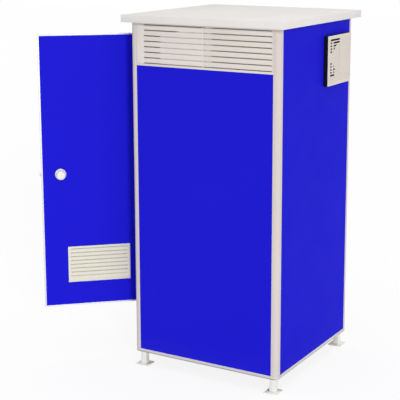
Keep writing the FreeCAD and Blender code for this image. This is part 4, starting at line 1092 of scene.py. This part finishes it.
def mould_cistern():
    """A rounded tank under a lid with a soft edge."""
    low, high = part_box("cistern_tank")
    middle, half = (low + high) / 2, (high - low) / 2
    # Up the outside of the tank and down its inside: inset and corner radius in millimetres, and height
    rows = [(inset, 22, low.z + (high.z - low.z) * part)
            for part, inset in ((0, 20), (0.01, 13), (0.03, 8), (0.06, 6), (0.5, 4), (0.94, 2))]
    rows += [(1, 22, high.z - 6 * MM), (1, 22, high.z), (6, 18, high.z), (12, 18, low.z + 6 * MM)]
    tank = capped([rounded_ring(middle, half.x - inset * MM, half.y - inset * MM, radius * MM, height)
                   for inset, radius, height in rows])
    make("cistern_tank_moulded", tank, "cabin", "white_plastic", "cistern_tank")
    eased("cistern_lid", 4 * MM, 3)


def turn_button():
    """The chrome flush button, with a rounded edge and a shallow dish in its top."""
    low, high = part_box("flush_button")
    radius, height, edge = (high.x - low.x) / 2, high.z - low.z, 3 * MM
    profile = [(0, 0), (radius - 1 * MM, 0), (radius, 1 * MM), (radius, height - edge)]
    profile += quarter_round(radius, height - edge, edge, edge, 6)[:-1]
    profile += [(radius * 0.6, height - 0.2 * MM), (radius * 0.3, height - 0.8 * MM), (0, height - 1 * MM)]
    place = Matrix.Translation(((low.x + high.x) / 2, (low.y + high.y) / 2, low.z))
    make("flush_button_domed", turned(profile), "flush_button", "chrome_button", "flush_button", turn=place)


ROLL_LAYERS = 14
ROLL_CORE = 21 * MM
ROLL_CARD = 1 * MM


def wind_paper_roll():
    """The paper roll: a card core and ends that show the layers."""
    low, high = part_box("paper_roll")
    radius, half = (high.z - low.z) / 2, (high.y - low.y) / 2
    card = ROLL_CORE + ROLL_CARD
    step = (radius - 2 * MM - card) / ROLL_LAYERS
    end = []
    for layer in range(ROLL_LAYERS):
        lift = 0.5 * MM * sin(layer * 1.7)
        end += [(card + (layer + part) * step, half - drop * MM + lift)
                for part, drop in ((0.15, 1), (0.5, 0.5), (0.85, 1))]
    profile = [(ROLL_CORE, -half), (card, -half)]
    profile += [(across, -height) for across, height in end]
    edge = [(radius - 1 * MM, half - 0.4 * MM), (radius, half - 2 * MM)]
    profile += [(across, -height) for across, height in edge]
    profile += reversed(end + edge)
    profile += [(card, half), (ROLL_CORE, half), (ROLL_CORE, -half)]
    place = Matrix.Translation((low + high) / 2) @ Matrix.Rotation(pi / 2, 4, "X")
    make("paper_roll_wound", turned(profile, 96), "paper_roll", "paper_white", "paper_roll", turn=place)


LENS_STEPS = 16
LENS_GROOVE = 1.2 * MM
# How much of the lens is the upright band round its top
LENS_BAND = 0.25


def turn_lamp():
    """A round ceiling lamp: a rolled base and a ringed opal lens."""
    low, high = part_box("lamp_cover")
    radius, drop = (high.x - low.x) / 2, high.z - low.z
    centre = Vector(((low.x + high.x) / 2, (low.y + high.y) / 2, high.z))
    profile = [(0, 0), (radius, 0), (radius, -drop * LENS_BAND)]
    for step in range(1, LENS_STEPS + 1):
        angle = pi / 2 * step / LENS_STEPS
        groove = -LENS_GROOVE if step % 2 else 0
        profile.append((radius * cos(angle) * 0.98 + 0.5 * MM,
                        -drop * LENS_BAND - (drop * (1 - LENS_BAND) + groove) * sin(angle)))
    profile.append((0, -drop))
    place = Matrix.Translation(centre)
    make("lamp_lens", turned(profile, 96), "cabin", "lamp_opal", "lamp_cover", turn=place)
    low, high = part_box("lamp_base")
    radius, half_depth = (high.x - low.x) / 2, (high.z - low.z) / 2
    profile = [(0, 0), (radius, 0), (radius, -half_depth)]
    profile += quarter_round(radius, -half_depth, 6 * MM, -half_depth, 6)
    profile.append((0, -2 * half_depth))
    centre.z = high.z
    place = Matrix.Translation(centre)
    make("lamp_base_rolled", turned(profile, 96), "cabin", "white_plastic", "lamp_base", turn=place)


def collar(radius, reach, depth, place):
    """A rolled collar round a pipe, its seat at height 0 before it goes to its place."""
    profile = [(radius + reach * part, depth * height) for part, height in
               ((0, 0), (1, 0), (1, 0.4), (0.8, 0.7), (0.3, 1), (0, 1), (0, 0))]
    form = turned(profile, 48)
    form.transform(place)
    return form


def fit_pipe_collars():
    """Rubber and plastic collars where pipes meet the pan, the cistern and the wall."""
    low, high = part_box("flush_pipe")
    middle = (low + high) / 2
    radius = (high.x - low.x) / 2 + 0.1 * MM
    sleeve = collar(radius, 5 * MM, 22 * MM, Matrix.Translation((middle.x, middle.y, low.z)))
    make("flush_sleeve", sleeve, "cabin", "floor_sheet", finish=RUBBER_FINISH)
    under_tank = Matrix.Translation((middle.x, middle.y, high.z)) @ Matrix.Rotation(pi, 4, "X")
    nut = collar(radius, 7 * MM, 18 * MM, under_tank)
    make("cistern_nut", nut, "cabin", "white_plastic")
    low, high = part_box("supply_pipe")
    middle = (low + high) / 2
    wall_low, wall_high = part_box("wall_panel_left")
    plates = bmesh.new()
    for x, way in ((wall_high.x, 1), (wall_low.x, -1)):
        place = Matrix.Translation((x, middle.y, middle.z)) @ Matrix.Rotation(way * pi / 2, 4, "Y")
        add_form(plates, collar(10.7 * MM, 14 * MM, 5 * MM, place))
    make("supply_wall_plates", plates, "cabin", "chrome_button")


# The radius, in millimetres, to which the sharp edges of each piece are rounded
EASED = {
    "roof_sheet": 2.5, "vent_rail": 1.2, "vent_top_rail": 1.2, "door_jamb": 1.5, "door_sill": 1.5,
    "door_head": 1.5, "door_edge_bottom": 0.7, "door_edge_top": 0.7, "door_edge_hinge": 0.7,
    "door_edge_lock": 0.7, "fan_box": 1.5, "base_frame": 1.5, "foot_front_left": 1.0, "foot_front_right": 1.0,
    "foot_back_left": 1.0, "foot_back_right": 1.0, "strike_plate": 0.4, "switch_plate": 1.5,
    "switch_rocker": 0.8, "paper_holder": 1.0, "floor_bearers": 1.0,
}

place_camera()
light_sky()
hang_lamps()
lay_floor()
dress_frame()
press_louvre()
slat_fan_cover()
mould_door_vent("door_vent_outer", 1)
mould_door_vent("door_vent_inner", -1)
turn_knob("outer_knob", 1)
turn_knob("inner_knob", -1)
turn_roses()
set_hinge_screws()
weld_feet()
glaze_pan()
mould_cistern()
turn_button()
wind_paper_roll()
turn_lamp()
fit_pipe_collars()
for node, radius in EASED.items():
    eased(node, radius * MM)

scene = bpy.context.scene
scene.view_settings.view_transform = "Standard"
